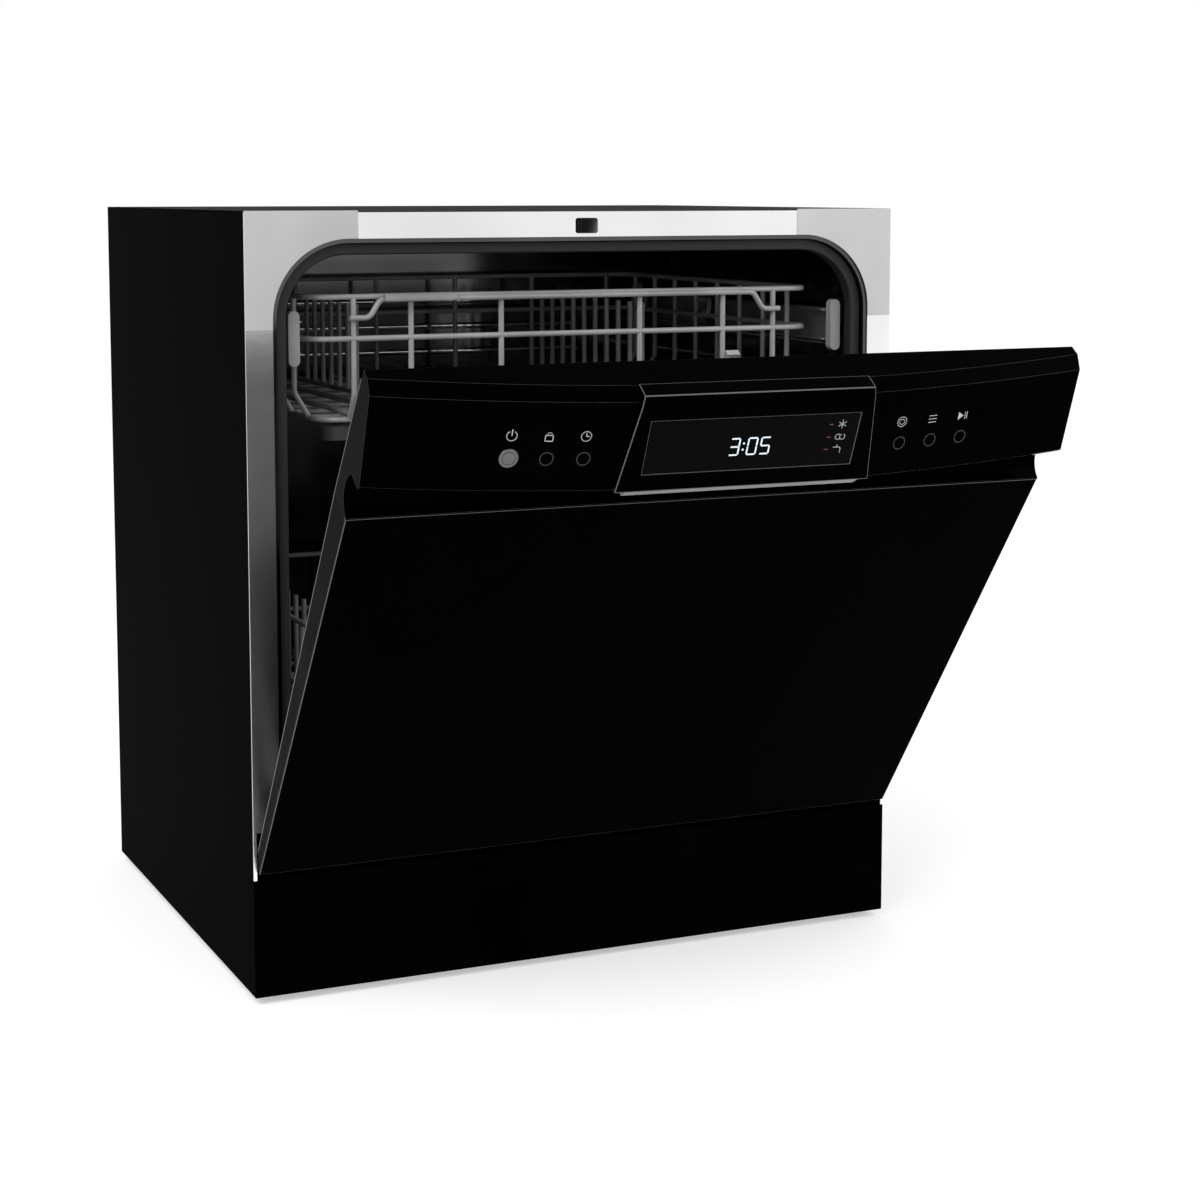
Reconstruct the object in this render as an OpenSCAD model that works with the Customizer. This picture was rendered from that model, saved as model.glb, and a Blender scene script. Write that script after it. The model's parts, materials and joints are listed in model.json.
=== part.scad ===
// Countertop dishwasher with a drop-down door, two racks and a control fascia.
// X runs to the right, Y to the back and Z up. The origin is the centre of the
// casing's footprint, on the surface that the feet stand on.

/* [Casing] */
// Width over the side panels
body_w = 550; // [540:1:600]
// Height of the casing without its feet
body_h = 595; // [590:1:640]
// Depth from the front frame to the rear panel
body_d = 444; // [440:1:480]
// Thickness of the casing's sheets
sheet_t = 1; // [0.8:0.1:1.2]
// Thickness of the front frame and the plinth plate
face_t = 1.2; // [1:0.1:1.5]
// Height of a foot
foot_h = 6; // [4:0.5:12]
// Diameter of a foot
foot_d = 34; // [24:1:40]
// Distance of a foot's centre from the casing's sides, front and back
foot_inset = 36; // [30:1:60]
// Height of the plinth plate
plinth_h = 91.5; // [80:0.5:92]
// Depth of the shelf behind the plinth's upper edge
plinth_shelf = 30; // [20:1:36]
// Height of the rear panel's lower edge above the casing's lower edge
rear_low = 104; // [90:1:120]

/* [Front frame] */
// Width of the frame beside the opening
frame_side = 21; // [18:0.5:26]
// Width of the frame above the opening
frame_top = 21; // [20:0.5:26]
// Height of the frame's lower edge above the casing's lower edge
frame_low = 128; // [126:0.5:140]
// Height of the sill below the opening
sill_h = 12; // [8:0.5:16]
// Radius of the opening's upper corners
open_r = 60; // [40:1:70]
// Radius of the opening's lower corners
open_low_r = 25; // [15:1:40]
// Width of the strip that runs down beside the door's lower end
strip_w = 2.5; // [1.5:0.1:3]
// Width and height of a corner plate
corner_plate = 88; // [70:1:100]
// Thickness of a corner plate
corner_t = 0.5; // [0.3:0.1:0.8]
// Width of the latch slot
slot_w = 19; // [15:1:24]
// Height of the latch slot
slot_h = 12; // [8:0.5:13]

/* [Tub] */
// Thickness of the tub's sheet
tub_t = 1.2; // [0.8:0.1:1.5]
// Distance of the tub's outside behind the opening's edge
tub_inset = 2; // [1.5:0.1:4]
// Width of the rim that joins the tub to the frame
rim_w = 3.2; // [2.5:0.1:3.2]
// Space between the tub and the rear panel
tub_back_gap = 14; // [10:1:30]
// Depth of the basin below the wheel ledges
basin_drop = 13; // [8:0.5:18]
// Width of a wheel ledge
ledge_w = 50; // [46:1:60]
// Distance of the basin from the tub's front
basin_inset = 16; // [10:1:30]
// Width of the gasket
gasket_w = 9; // [7:0.5:9]
// Depth of the gasket
gasket_d = 12; // [8:0.5:16]

/* [Door] */
// Space between the door's side and the casing's side
door_side_gap = 3; // [2.8:0.1:5]
// Space between the casing's front and the closed door
door_gap = 2; // [1.5:0.1:3]
// Distance from the casing's front to the door panel's face
door_out = 30; // [28:0.5:34]
// Thickness of the door at its lower edge
door_low_t = 12.6; // [12:0.2:15]
// Height of the closed door's lower edge above the casing's lower edge
door_low = 118; // [116:0.5:124]
// Height of the door panel
panel_h = 367.5; // [340:0.5:380]
// Thickness of the door panel
panel_t = 4; // [3:0.5:5]
// Thickness of the door's side strips
strip_t = 3; // [2:0.5:5]
// Thickness of the steel liner
liner_t = 1; // [0.8:0.1:1.2]
// How far the liner's raised field enters the opening
plug_in = 6; // [4:0.5:8]
// Space between the raised field and the opening's edge
plug_gap = 6; // [4:0.5:8]
// Distance from the door's lower edge to the raised field
plug_low = 48; // [46:1:60]
// Angle that the door stands open at rest
door_ajar = 36; // [10:1:60]
// Distance of the door's pivot behind the casing's front
pivot_in = 15; // [14:0.5:18]
// Height of the door's pivot above the casing's lower edge
pivot_up = 147; // [145:0.5:152]

/* [Hinge] */
// Diameter of a pivot pin
pin_d = 8; // [6:0.5:10]
// Thickness of a hinge arm
arm_t = 3; // [2:0.5:4]
// Diameter of a door spring
spring_d = 11; // [8:0.5:14]
// Length of a door spring's coils
spring_l = 90; // [60:1:100]
// Distance from the pivot to the spring's hole
spring_reach = 28.5; // [24:0.5:32]

/* [Control fascia] */
// Height of the fascia's lip above the door panel's upper edge
recess_h = 37; // [32:0.5:42]
// Height of the fascia's face
fascia_h = 62; // [56:0.5:70]
// Height of the rounded edge above the face
fascia_edge = 7; // [5:0.5:9]
// How far the lip stands out in front of the door panel, at the middle
lip_out = 27; // [22:0.5:32]
// How far the face leans back over its height
face_lean = 18; // [12:0.5:22]
// How far the face curves back from the middle to the door's ends
fascia_bow = 18; // [10:0.5:24]
// Wall thickness of the fascia
fascia_t = 3; // [2:0.5:4]
// Radius of the finger recess
recess_r = 19; // [17:0.5:20]
// Half width of the display block at its top
block_top = 88; // [80:1:100]
// Half width of the display block at its foot
block_foot = 98; // [90:1:110]
// How far the display block's head stands out from the fascia
block_out = 4.5; // [3:0.5:6]
// Width of the display window
window_w = 160; // [130:1:164]
// Height of the display window along the face
window_h = 40; // [30:1:44]
// Thickness of the display window
window_t = 1.5; // [1:0.1:2]
// Height of the silver strip
silver_h = 2.6; // [2:0.1:4]
// Diameter of a button
button_d = 12; // [10:0.5:14]
// Diameter of the power button
power_d = 13.5; // [12:0.5:15]
// Distance between two buttons
button_pitch = 26; // [22:0.5:30]
// Distance of the innermost left button from the middle
left_buttons = 123; // [116:1:140]
// Distance of the innermost right button from the middle
right_buttons = 120; // [116:1:140]
// Height of the buttons above the fascia's lip
button_up = 23; // [18:0.5:28]

/* [Dispenser] */
// Width of the dispenser
dispenser_w = 144; // [130:1:170]
// Height of the dispenser
dispenser_h = 90; // [80:1:110]
// Height of the dispenser above the door's lower edge
dispenser_up = 194; // [160:1:230]
// Depth of the detergent cup
cup_depth = 20; // [12:1:22]
// Diameter of the rinse aid neck's bore
neck_d = 28; // [22:0.5:32]

/* [Racks] */
// Diameter of a rack wire
wire_d = 4.5; // [3.5:0.1:5]
// Half width of the upper rack, at its wires
upper_half = 217; // [200:1:219]
// Distance of both racks' fronts behind the casing's front
rack_in = 28; // [26:1:40]
// Depth of both racks
rack_d = 366; // [330:1:370]
// Height of the upper rack's floor above the casing's lower edge
upper_floor = 434; // [425:1:440]
// Height of the upper rack's middle wire above its floor
upper_mid = 63; // [55:1:68]
// Height of the upper rack's front wire above its floor
upper_top = 93; // [85:1:98]
// Radius of the rail rollers
roller_r = 11.2; // [9:0.1:12]
// Height of the rails' middle above the upper rack's floor
rail_up = 65; // [60:1:70]
// Length of a rail
rail_l = 374; // [340:1:378]
// Height of the lower rack's floor above the casing's lower edge
lower_floor = 180; // [176:1:190]
// Height of the lower rack's walls
lower_h = 95; // [80:1:110]
// Half width of the lower rack, at its wires
lower_half = 217; // [200:1:219]
// Radius of the lower rack's wheels
wheel_r = 13; // [10:0.5:14]
// Half the length of the lower spray arm
lower_arm_r = 148; // [120:1:150]
// Half the length of the upper spray arm
upper_arm_r = 150; // [120:1:160]

/* [Water system] */
// Radius of the sump
sump_r = 85; // [78:1:90]
// Radius of the filter cup
filter_r = 30; // [24:0.5:32]
// Radius of the salt cap
salt_r = 30; // [24:0.5:34]
// Radius of the water inlet's threaded end
inlet_r = 13.2; // [13.2:0.1:13.2]
// Radius of the drain spigot
drain_r = 10; // [9:0.1:11]
// Free length of the inlet and the spigot behind the casing
spout_l = 16; // [14:1:24]

/* [Hidden] */
$fn = 96;

// Clearances
gap = 0.3; // between pieces that move past each other
fit = 0.06; // radial, between a shaft and its bore
past = 1; // how far a cutting shape runs past what it cuts
hair = 0.05; // between the solids of one rack, which are welded on the real one

// Casing
front_y = -body_d / 2;
rear_y = body_d / 2;
low_z = foot_h;
top_z = foot_h + body_h;
inner_half = body_w / 2 - sheet_t;
plinth_top = low_z + plinth_h;
pan_t = 2.5;
pan_wall_top = plinth_top - face_t;
pan_front = front_y + face_t;
rear_low_z = low_z + rear_low;

// Front frame
frame_low_z = low_z + frame_low;
open_w = body_w - 2 * frame_side;
open_low_z = frame_low_z + sill_h;
open_top_z = top_z - frame_top;
slot_z = open_top_z + 2.6 + slot_h / 2;

// Tub
tub_front = front_y + face_t;
tub_back = rear_y - tub_back_gap;
tub_w = open_w - 2 * tub_inset;
tub_low_z = open_low_z - tub_t;
tub_top_z = open_top_z - tub_inset;
tub_r = open_r - tub_inset;
basin_low_z = open_low_z - basin_drop;
basin_half = tub_w / 2 - ledge_w;
basin_front = tub_front + basin_inset;
inner_back = tub_back - tub_t;
feed_r = 10;
feed_y = inner_back - 1 - gap - feed_r;
basin_back = feed_y - feed_r - 7;
basin_r = 30;

// Door, closed
pivot_y = front_y + pivot_in;
pivot_z = low_z + pivot_up;
door_half = body_w / 2 - door_side_gap;
door_y = front_y - door_out;
door_low_z = low_z + door_low;
door_back = front_y - door_gap;
panel_top_z = door_low_z + panel_h;
field_y = front_y + plug_in;
plug_half = open_w / 2 - plug_gap;
plug_low_z = door_low_z + plug_low;
plug_top_z = open_top_z - plug_gap - 2;
plug_r = open_r - plug_gap;
gasket_y = field_y + gap;

// Fascia
lip_z = panel_top_z + recess_h + 0.5;
face_top_z = lip_z + fascia_h;
fascia_top_z = face_top_z + fascia_edge;
lip_t = 4; // thickness of the lip's underside
bow_r = (pow(door_half, 2) + pow(fascia_bow, 2)) / (2 * fascia_bow);
bow_y = door_y - lip_out + bow_r;
face_angle = atan(face_lean / fascia_h);
recess_mid_z = lip_z - lip_t - 14;
recess_mid = 5; // how far the recess's axis lies in front of the door panel
button_z = lip_z + button_up;
board_out = -3; // the display board's face, from the door panel's face
board_t = 1.6;
button_xs = [
    -left_buttons - 2 * button_pitch, -left_buttons - button_pitch, -left_buttons,
    right_buttons, right_buttons + button_pitch, right_buttons + 2 * button_pitch
];
block_front = lip_out + 1; // the block's face from the door panel's face, at its foot
block_head = lip_out - face_lean + block_out; // and at its head
block_cap_z = fascia_top_z + 1.2;
block_wall = 3;

// Dispenser
dispenser_z = door_low_z + dispenser_up;
cup_left = -dispenser_w / 2 + 12;
cup_right = -2;
lid_t = 2.5;
lid_y = field_y + 2 + gap;
lid_axis_z = dispenser_z + 5;
lid_axis_y = lid_y + lid_t / 2;
lid_pin_r = 1.4;
neck_x = dispenser_w / 4;
neck_z = dispenser_z + dispenser_h / 2;

// Hinge
bracket_x = tub_w / 2;
bracket_t = 2;
arm_x = bracket_x + bracket_t + 2.5;
arm_neck_z = door_low_z + 2 + gap;
arm_neck_h = frame_low_z - 2 - arm_neck_z;
spring_angle = -10; // of the spring's hole about the pivot, with the door closed
spring_hole_d = 5;
spring_x = arm_x + arm_t + 2 + spring_d / 2;
anchor_y = pivot_y + spring_l + 60;

// Rails and racks
rail_z = low_z + upper_floor + rail_up;
rail_t = 1.5;
rail_half_h = roller_r + gap + rail_t;
gasket_inner = tub_w / 2 - tub_t - gasket_w;
roller_t = 6.4;
rail_lip = roller_t + 1.2;
rail_web_x = gasket_inner - 0.5 - rail_lip - rail_t / 2;
rail_front = front_y + 24;
rail_back = rail_front + rail_l;
cap_w = 9;
cap_h = 42;
cap_l = 8;
cap_r = cap_w / 2 - 0.01;
rack_front = front_y + rack_in;
rack_back = rack_front + rack_d;
upper_z = low_z + upper_floor;
upper_mid_z = upper_z + upper_mid;
upper_top_z = upper_z + upper_top;
lower_z = low_z + lower_floor;
lower_top_z = lower_z + lower_h;
wheel_z = open_low_z + gap + wheel_r;
wheel_t = 7;
wheel_x = lower_half + 4;
wheel_ys = [rack_front + 46, rack_back - 34];
upper_wheel_ys = [front_y + 230, rack_back - 30];
tub_roller_ys = [front_y + 58, front_y + 180];
roller_pin_d = 6;
tub_roller_x = rail_web_x + rail_t / 2 + 0.6;
rack_roller_x = rail_web_x - rail_t / 2 - 0.6 - roller_t;
corner_r = 20; // of the racks' rims
foot_in = 12; // how far the walls draw in at the upper rack's floor
foot_up = 20; // height of the drawn-in part
upright_xs = [-181.5, -135, -60, 60, 135, 181.5] * upper_half / 217;
handle_half = 161 * upper_half / 217;
handle_dip = 14;
handle_y = rack_front - wire_d + 0.5;
sleeve_end = -100;
cutlery = [84, 150, 100]; // width, depth and height of the cutlery basket
cutlery_at = [lower_half - wire_d / 2 - 8 - cutlery.x, rack_front + 14, lower_z + 1.5 * wire_d + gap];

// Water system
sump_y = -10;
sump_low = basin_low_z - 62;
port_l = 3; // of the sump's ports beyond its wall
wash_z = sump_low + 30;
wash_port_r = 26;
drain_pump_y = sump_y + 30;
drain_pump_z = sump_low + 22;
drain_port_r = 16;
outlet_x = sump_r + port_l + 31; // of the wash pump's outlet pipe
outlet_r = 7;
feed_elbow = 9; // of the feed pipe's inlet in front of its middle
riser_y = 25;
riser_r = 11;
riser_top = basin_low_z + 17;
cup_x = -30;
cup_y = -46;
salt_x = -150;
salt_y = -70;
salt_bore_r = salt_r - 7;
arm_low = basin_low_z + 8;
arm_h = 14;
tube_r = 8;
tube_z = upper_z - wire_d / 2 - gap - tube_r;
hub_y = -10;
hub_r = 9;
arm_mid_z = tube_z - tube_r - 9;

// Feet and connections
foot_pin_r = 5;
drain_x = -95;
drain_z = low_z + 52;
inlet_x = -185;
inlet_z = low_z + 52;
gland_x = 190;
gland_z = low_z + 40;
gland_r = 8;

// ---- shapes that repeat ----

// A rectangle with round corners, upright in X and Z
module outline(w, low, top, low_r, top_r) {
    translate([-w / 2, low + low_r])
        square([w, top - low - low_r - top_r]);
    translate([-w / 2 + low_r, low])
        square([w - 2 * low_r, low_r + past]);
    translate([-w / 2 + top_r, top - top_r - past])
        square([w - 2 * top_r, top_r + past]);
    for (side = [-1, 1]) {
        translate([side * (w / 2 - low_r), low + low_r])
            circle(low_r);
        translate([side * (w / 2 - top_r), top - top_r])
            circle(top_r);
    }
}

// Gives an outline in X and Z its depth from y0 to y1
module deep(y0, y1) {
    translate([0, y1, 0])
        rotate([90, 0, 0])
            linear_extrude(y1 - y0)
                children();
}

// Gives a profile in Y and Z its width from x0 to x1
module wide(x0, x1) {
    translate([x0, 0, 0])
        rotate([90, 0, 90])
            linear_extrude(x1 - x0)
                children();
}

// A box from its lowest and highest corners
module box(low, high) {
    translate(low)
        cube(high - low);
}

// The same child on the left and on the right
module both_sides() {
    children();
    mirror([1, 0, 0])
        children();
}

// A cylinder along X from x0 to x1
module rod_x(x0, x1, y, z, r) {
    translate([x0, y, z])
        rotate([0, 90, 0])
            cylinder(h = x1 - x0, r = r);
}

// A cylinder along Y from y0 to y1
module rod_y(y0, y1, x, z, r) {
    translate([x, y1, z])
        rotate([90, 0, 0])
            cylinder(h = y1 - y0, r = r);
}

// A straight wire with eight flats from one point to another
module wire(from, to, d = wire_d) {
    run = to - from;
    translate(from)
        rotate([0, acos(run.z / norm(run)), atan2(run.y, run.x)])
            rotate(22.5)
                cylinder(h = norm(run), d = d / cos(22.5), $fn = 8);
}

// A wire bent at each point, with its lengths run together at the bends
module bent_wire(points, d = wire_d) {
    reach = 0.35 * d;
    for (i = [0 : len(points) - 2]) {
        along = (points[i + 1] - points[i]) / norm(points[i + 1] - points[i]);
        start = i == 0 ? 0 : reach;
        end = i == len(points) - 2 ? 0 : reach;
        wire(points[i] - start * along, points[i + 1] + end * along, d);
    }
}

// The part of a wire ring with round corners, at height z, that lies within clip's outline
module rim(half, y0, y1, z, r, clip) {
    d = wire_d;
    translate([0, 0, z - d / 2])
        linear_extrude(d)
            intersection() {
                difference() {
                    outline(2 * half + d, y0 - d / 2, y1 + d / 2, r + d / 2, r + d / 2);
                    outline(2 * half - d, y0 + d / 2, y1 - d / 2, r - d / 2, r - d / 2);
                }
                translate(clip[0])
                    square(clip[1] - clip[0]);
            }
}

// The outlines that part a rack's walls: left, right, front and back
function wall_clips(side_x) = [
    [[-body_w / 2, front_y], [-side_x - hair, rear_y]], [[side_x + hair, front_y], [body_w / 2, rear_y]],
    [[-side_x, front_y], [side_x, 0]], [[-side_x, 0], [side_x, rear_y]]
];

// Turns what is drawn on the closed door to where the door stands at rest
module on_door() {
    translate([0, pivot_y, pivot_z])
        rotate([door_ajar, 0, 0])
            translate([0, -pivot_y, -pivot_z])
                children();
}

// ---- casing ----

module side_panel() {
    box([inner_half, front_y + face_t, low_z], [body_w / 2, rear_y, top_z - sheet_t]);
    box([inner_half - 10, rear_y - sheet_t * 2, low_z + 10],
        [inner_half, rear_y - sheet_t, top_z - 14]);
}

module side_panel_left() {
    color("#1a1a1c")
        mirror([1, 0, 0])
            side_panel();
}

module side_panel_right() {
    color("#1a1a1c")
        side_panel();
}

module top_cover() {
    color("#202022") {
        box([-body_w / 2, front_y + face_t, top_z - sheet_t], [body_w / 2, rear_y, top_z]);
        both_sides()
            box([inner_half - sheet_t, front_y + 20, top_z - 12],
                [inner_half, rear_y - 20, top_z - sheet_t]);
    }
}

module rear_panel() {
    color("#b4b6b8")
        box([-inner_half, rear_y - sheet_t, rear_low_z], [inner_half, rear_y, top_z - sheet_t]);
}

module plinth() {
    color("#141416") {
        box([-body_w / 2, front_y, low_z], [body_w / 2, front_y + face_t, plinth_top]);
        box([-inner_half, front_y + face_t, plinth_top - face_t],
            [inner_half, front_y + plinth_shelf, plinth_top]);
    }
}

module base_pan() {
    post_w = 16;
    color("#2b2b2e")
    difference() {
        union() {
            difference() {
                box([-inner_half, pan_front, low_z], [inner_half, rear_y - sheet_t * 2, pan_wall_top]);
                box([-inner_half + pan_t, pan_front + pan_t, low_z + pan_t],
                    [inner_half - pan_t, rear_y - sheet_t * 2 - pan_t, pan_wall_top + past]);
            }
            box([-inner_half + 12, rear_y - sheet_t * 2 - pan_t, low_z],
                [inner_half - 12, rear_y, rear_low_z]);
            for (x = [-1, 1])
                for (y = [front_y + 70, rear_y - 70])
                    box([x * (tub_w / 2 - 24) - post_w / 2, y - post_w / 2, low_z],
                        [x * (tub_w / 2 - 24) + post_w / 2, y + post_w / 2, tub_low_z]);
            rod_y(rear_y - pan_t, rear_y + spout_l, drain_x, drain_z, drain_r);
        }
        rod_y(rear_y - 10, rear_y + spout_l + past, drain_x, drain_z, drain_r - 2);
        rod_y(rear_y - 10, rear_y + past, inlet_x, inlet_z, inlet_r - 1 + gap);
        rod_y(rear_y - 10, rear_y + past, gland_x, gland_z, gland_r);
        for (x = [-1, 1])
            for (y = [-1, 1])
                translate([x * (body_w / 2 - foot_inset), y * (body_d / 2 - foot_inset), low_z - past])
                    cylinder(h = pan_t + 2 * past, r = foot_pin_r + fit);
    }
}

module feet() {
    color("#0d0d0e")
        for (x = [-1, 1])
            for (y = [-1, 1])
                translate([x * (body_w / 2 - foot_inset), y * (body_d / 2 - foot_inset), 0]) {
                    cylinder(h = foot_h, d = foot_d);
                    cylinder(h = foot_h + pan_t + 6, r = foot_pin_r);
                }
}

// ---- front frame ----

// The frame's outline with its opening, without the latch slot
module frame_outline() {
    difference() {
        translate([-body_w / 2, frame_low_z])
            square([body_w, top_z - frame_low_z]);
        outline(open_w, open_low_z, open_top_z, open_low_r, open_r);
    }
}

module front_frame() {
    color("#c9cbcd")
        deep(front_y, front_y + face_t)
            difference() {
                union() {
                    frame_outline();
                    for (side = [-1, 1])
                        translate([side * (body_w / 2 - strip_w / 2) - strip_w / 2, plinth_top])
                            square([strip_w, frame_low_z - plinth_top + past]);
                }
                outline_slot(slot_w, slot_h);
            }
}

// The latch slot's outline, w wide and h high
module outline_slot(w, h) {
    outline(w, slot_z - h / 2, slot_z + h / 2, 2, 2);
}

module corner_plates() {
    color("#8f9193")
        for (side = [-1, 1])
            deep(front_y - corner_t, front_y)
                intersection() {
                    frame_outline();
                    translate([side * (body_w - corner_plate) / 2, top_z - corner_plate / 2])
                        square([corner_plate, corner_plate], center = true);
                }
}

module latch_catch() {
    wall = 1.3;
    depth = 26;
    color("#3a3a3c")
    difference() {
        deep(front_y + face_t, front_y + face_t + depth)
            outline_slot(slot_w + 2 * wall, slot_h + 2 * wall - 0.2);
        deep(front_y, front_y + face_t + depth - 2)
            outline_slot(slot_w, slot_h);
    }
}

// ---- tub ----

// The tub's shape, drawn in by the distance inset on all sides
module tub_shape(inset, from_y, to_y) {
    deep(from_y, to_y)
        outline(tub_w - 2 * inset, tub_low_z + inset, tub_top_z - inset, open_low_r - inset, tub_r - inset);
    translate([0, 0, basin_low_z - tub_t + inset])
        linear_extrude(open_low_z - basin_low_z + 30)
            basin_outline(inset);
}

// The basin's outline from above
module basin_outline(inset) {
    half = basin_half + tub_t - inset;
    y0 = basin_front - tub_t + inset;
    y1 = basin_back + tub_t - inset;
    r = basin_r + tub_t - inset;
    outline(2 * half, y0, y1, r, r);
}

module tub() {
    color("#9a9c9e")
    difference() {
        union() {
            tub_shape(0, tub_front, tub_back);
            deep(tub_front, tub_front + tub_t)
                outline(tub_w + 2 * rim_w, tub_low_z - rim_w, tub_top_z + rim_w, open_low_r, tub_r);
            both_sides()
                for (y = tub_roller_ys)
                    rod_x(rail_web_x + 2.6, tub_w / 2 - tub_t / 2, y, rail_z, roller_pin_d / 2);
        }
        difference() {
            tub_shape(tub_t, tub_front - past, inner_back);
            both_sides()
                for (y = tub_roller_ys)
                    rod_x(rail_web_x + 2.6, tub_w / 2, y, rail_z, roller_pin_d / 2);
        }
        translate([0, sump_y, basin_low_z - 2 * tub_t])
            cylinder(h = 4 * tub_t, r = sump_r - 6);
        translate([salt_x, salt_y, basin_low_z - 2 * tub_t])
            cylinder(h = 4 * tub_t, r = salt_r - 3);
        translate([0, feed_y, open_low_z - 2 * tub_t])
            cylinder(h = 4 * tub_t, r = feed_r + gap);
    }
}

module tub_gasket() {
    color("#0e0e10")
    deep(gasket_y, gasket_y + gasket_d)
        difference() {
            outline(tub_w - 2 * tub_t, tub_low_z + tub_t, tub_top_z - tub_t,
                open_low_r - tub_t, tub_r - tub_t);
            outline(tub_w - 2 * tub_t - 2 * gasket_w, tub_low_z - 60, tub_top_z - tub_t - gasket_w,
                open_low_r, tub_r - tub_t - gasket_w);
            translate([-body_w / 2, 0])
                square([body_w, open_low_z + open_low_r]);
        }
}

// ---- door hinge ----

// The spring hole's place in Y and Z, with the door turned by angle
function spring_hole(angle) = [
    pivot_y + spring_reach * cos(spring_angle + angle),
    pivot_z + spring_reach * sin(spring_angle + angle)
];

module hinge_brackets() {
    top = pivot_z + 30;
    color("#8a8c8e")
    both_sides() {
        box([bracket_x, tub_front + tub_t + 2, tub_low_z + 3], [bracket_x + bracket_t, anchor_y + 8, top]);
        rod_x(bracket_x, arm_x + arm_t + 3, pivot_y, pivot_z, pin_d / 2);
        rod_x(arm_x + arm_t + gap, arm_x + arm_t + 3, pivot_y, pivot_z, pin_d / 2 + 2.5);
        rod_x(bracket_x, arm_x - gap, pivot_y, pivot_z, pin_d / 2 + 3);
        rod_x(bracket_x, spring_x + 4, anchor_y, spring_hole(door_ajar)[1], 3);
    }
}

module hinge_arm() {
    hole = spring_hole(0);
    difference() {
        wide(arm_x, arm_x + arm_t)
            union() {
                translate([pivot_y, pivot_z])
                    circle(pin_d / 2 + 4);
                translate([hole[0], hole[1]])
                    circle(spring_hole_d / 2 + 3.5);
                polygon([
                    [pivot_y, pivot_z + pin_d / 2 + 2], [hole[0], hole[1] + 5],
                    [hole[0], hole[1] - 5], [pivot_y, pivot_z - pin_d / 2 - 2]
                ]);
                translate([pivot_y - 8, arm_neck_z])
                    square([10, pivot_z - arm_neck_z]);
                translate([door_y + panel_t + gap, arm_neck_z])
                    square([pivot_y + 2 - door_y - panel_t - gap, arm_neck_h]);
                translate([door_y + panel_t + gap, arm_neck_z])
                    square([7, 120]);
            }
        rod_x(arm_x - past, arm_x + arm_t + past, pivot_y, pivot_z, pin_d / 2 + fit);
        rod_x(arm_x - past, arm_x + arm_t + past, hole[0], hole[1], spring_hole_d / 2);
    }
}

module hinge_arms() {
    color("#77797b")
    on_door()
        both_sides()
            hinge_arm();
}

module door_springs() {
    hole = spring_hole(door_ajar);
    coil_y = hole[0] + 24;
    hook_r = spring_hole_d / 2 - gap;
    color("#9fa1a3")
    both_sides()
    difference() {
        union() {
            rod_x(arm_x - 1, spring_x + hook_r, hole[0], hole[1], hook_r);
            rod_y(hole[0], coil_y + 2, spring_x, hole[1], hook_r);
            rod_y(coil_y, coil_y + spring_l, spring_x, hole[1], spring_d / 2);
            rod_y(coil_y + spring_l - 2, anchor_y - 4, spring_x, hole[1], hook_r);
            rod_x(spring_x - 2, spring_x + 2, anchor_y, hole[1], 3 + gap + 2.5);
        }
        rod_x(spring_x - 3, spring_x + 3, anchor_y, hole[1], 3 + gap);
    }
}

// ---- water system ----

module sump() {
    wall = 2.5;
    under = basin_low_z - tub_t;
    color("#3c3d40") {
        difference() {
            union() {
                translate([0, sump_y, sump_low])
                    cylinder(h = under - sump_low, r = sump_r);
                rod_x(0, sump_r + port_l, sump_y, wash_z, wash_port_r);
                rod_x(-sump_r - port_l, 0, drain_pump_y, drain_pump_z, drain_port_r);
            }
            translate([0, sump_y, sump_low + wall])
                cylinder(h = under - sump_low, r = sump_r - wall);
            rod_x(0, sump_r + port_l + past, sump_y, wash_z, wash_port_r - wall);
            rod_x(-sump_r - port_l - past, 0, drain_pump_y, drain_pump_z, drain_port_r - wall);
        }
        translate([0, riser_y, sump_low])
            difference() {
                cylinder(h = riser_top - sump_low, r = riser_r);
                translate([0, 0, wall])
                    cylinder(h = riser_top - sump_low, r = riser_r - wall);
            }
    }
}

module filter_plate() {
    plate_t = 1.5;
    color("#8d8f92")
    difference() {
        translate([0, sump_y, basin_low_z])
            cylinder(h = plate_t, r = sump_r + 6);
        translate([cup_x, cup_y, basin_low_z - past])
            cylinder(h = plate_t + 2 * past, r = filter_r + gap);
        translate([0, riser_y, basin_low_z - past])
            cylinder(h = plate_t + 2 * past, r = riser_r + gap);
    }
}

module filter_cup() {
    wall = 1.5;
    cup_low = basin_low_z - 45;
    rim_t = 1.6;
    rim_z = basin_low_z + 1.5 + gap;
    color("#55575a")
    translate([cup_x, cup_y, 0]) {
        difference() {
            union() {
                translate([0, 0, cup_low])
                    cylinder(h = rim_z + rim_t - cup_low, r = filter_r);
                translate([0, 0, rim_z])
                    cylinder(h = rim_t, r = filter_r + 3);
            }
            translate([0, 0, cup_low + wall])
                cylinder(h = rim_z + rim_t, r = filter_r - wall);
        }
        box([-filter_r + 1, -1.5, cup_low + 1], [filter_r - 1, 1.5, rim_z + rim_t]);
    }
}

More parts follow.
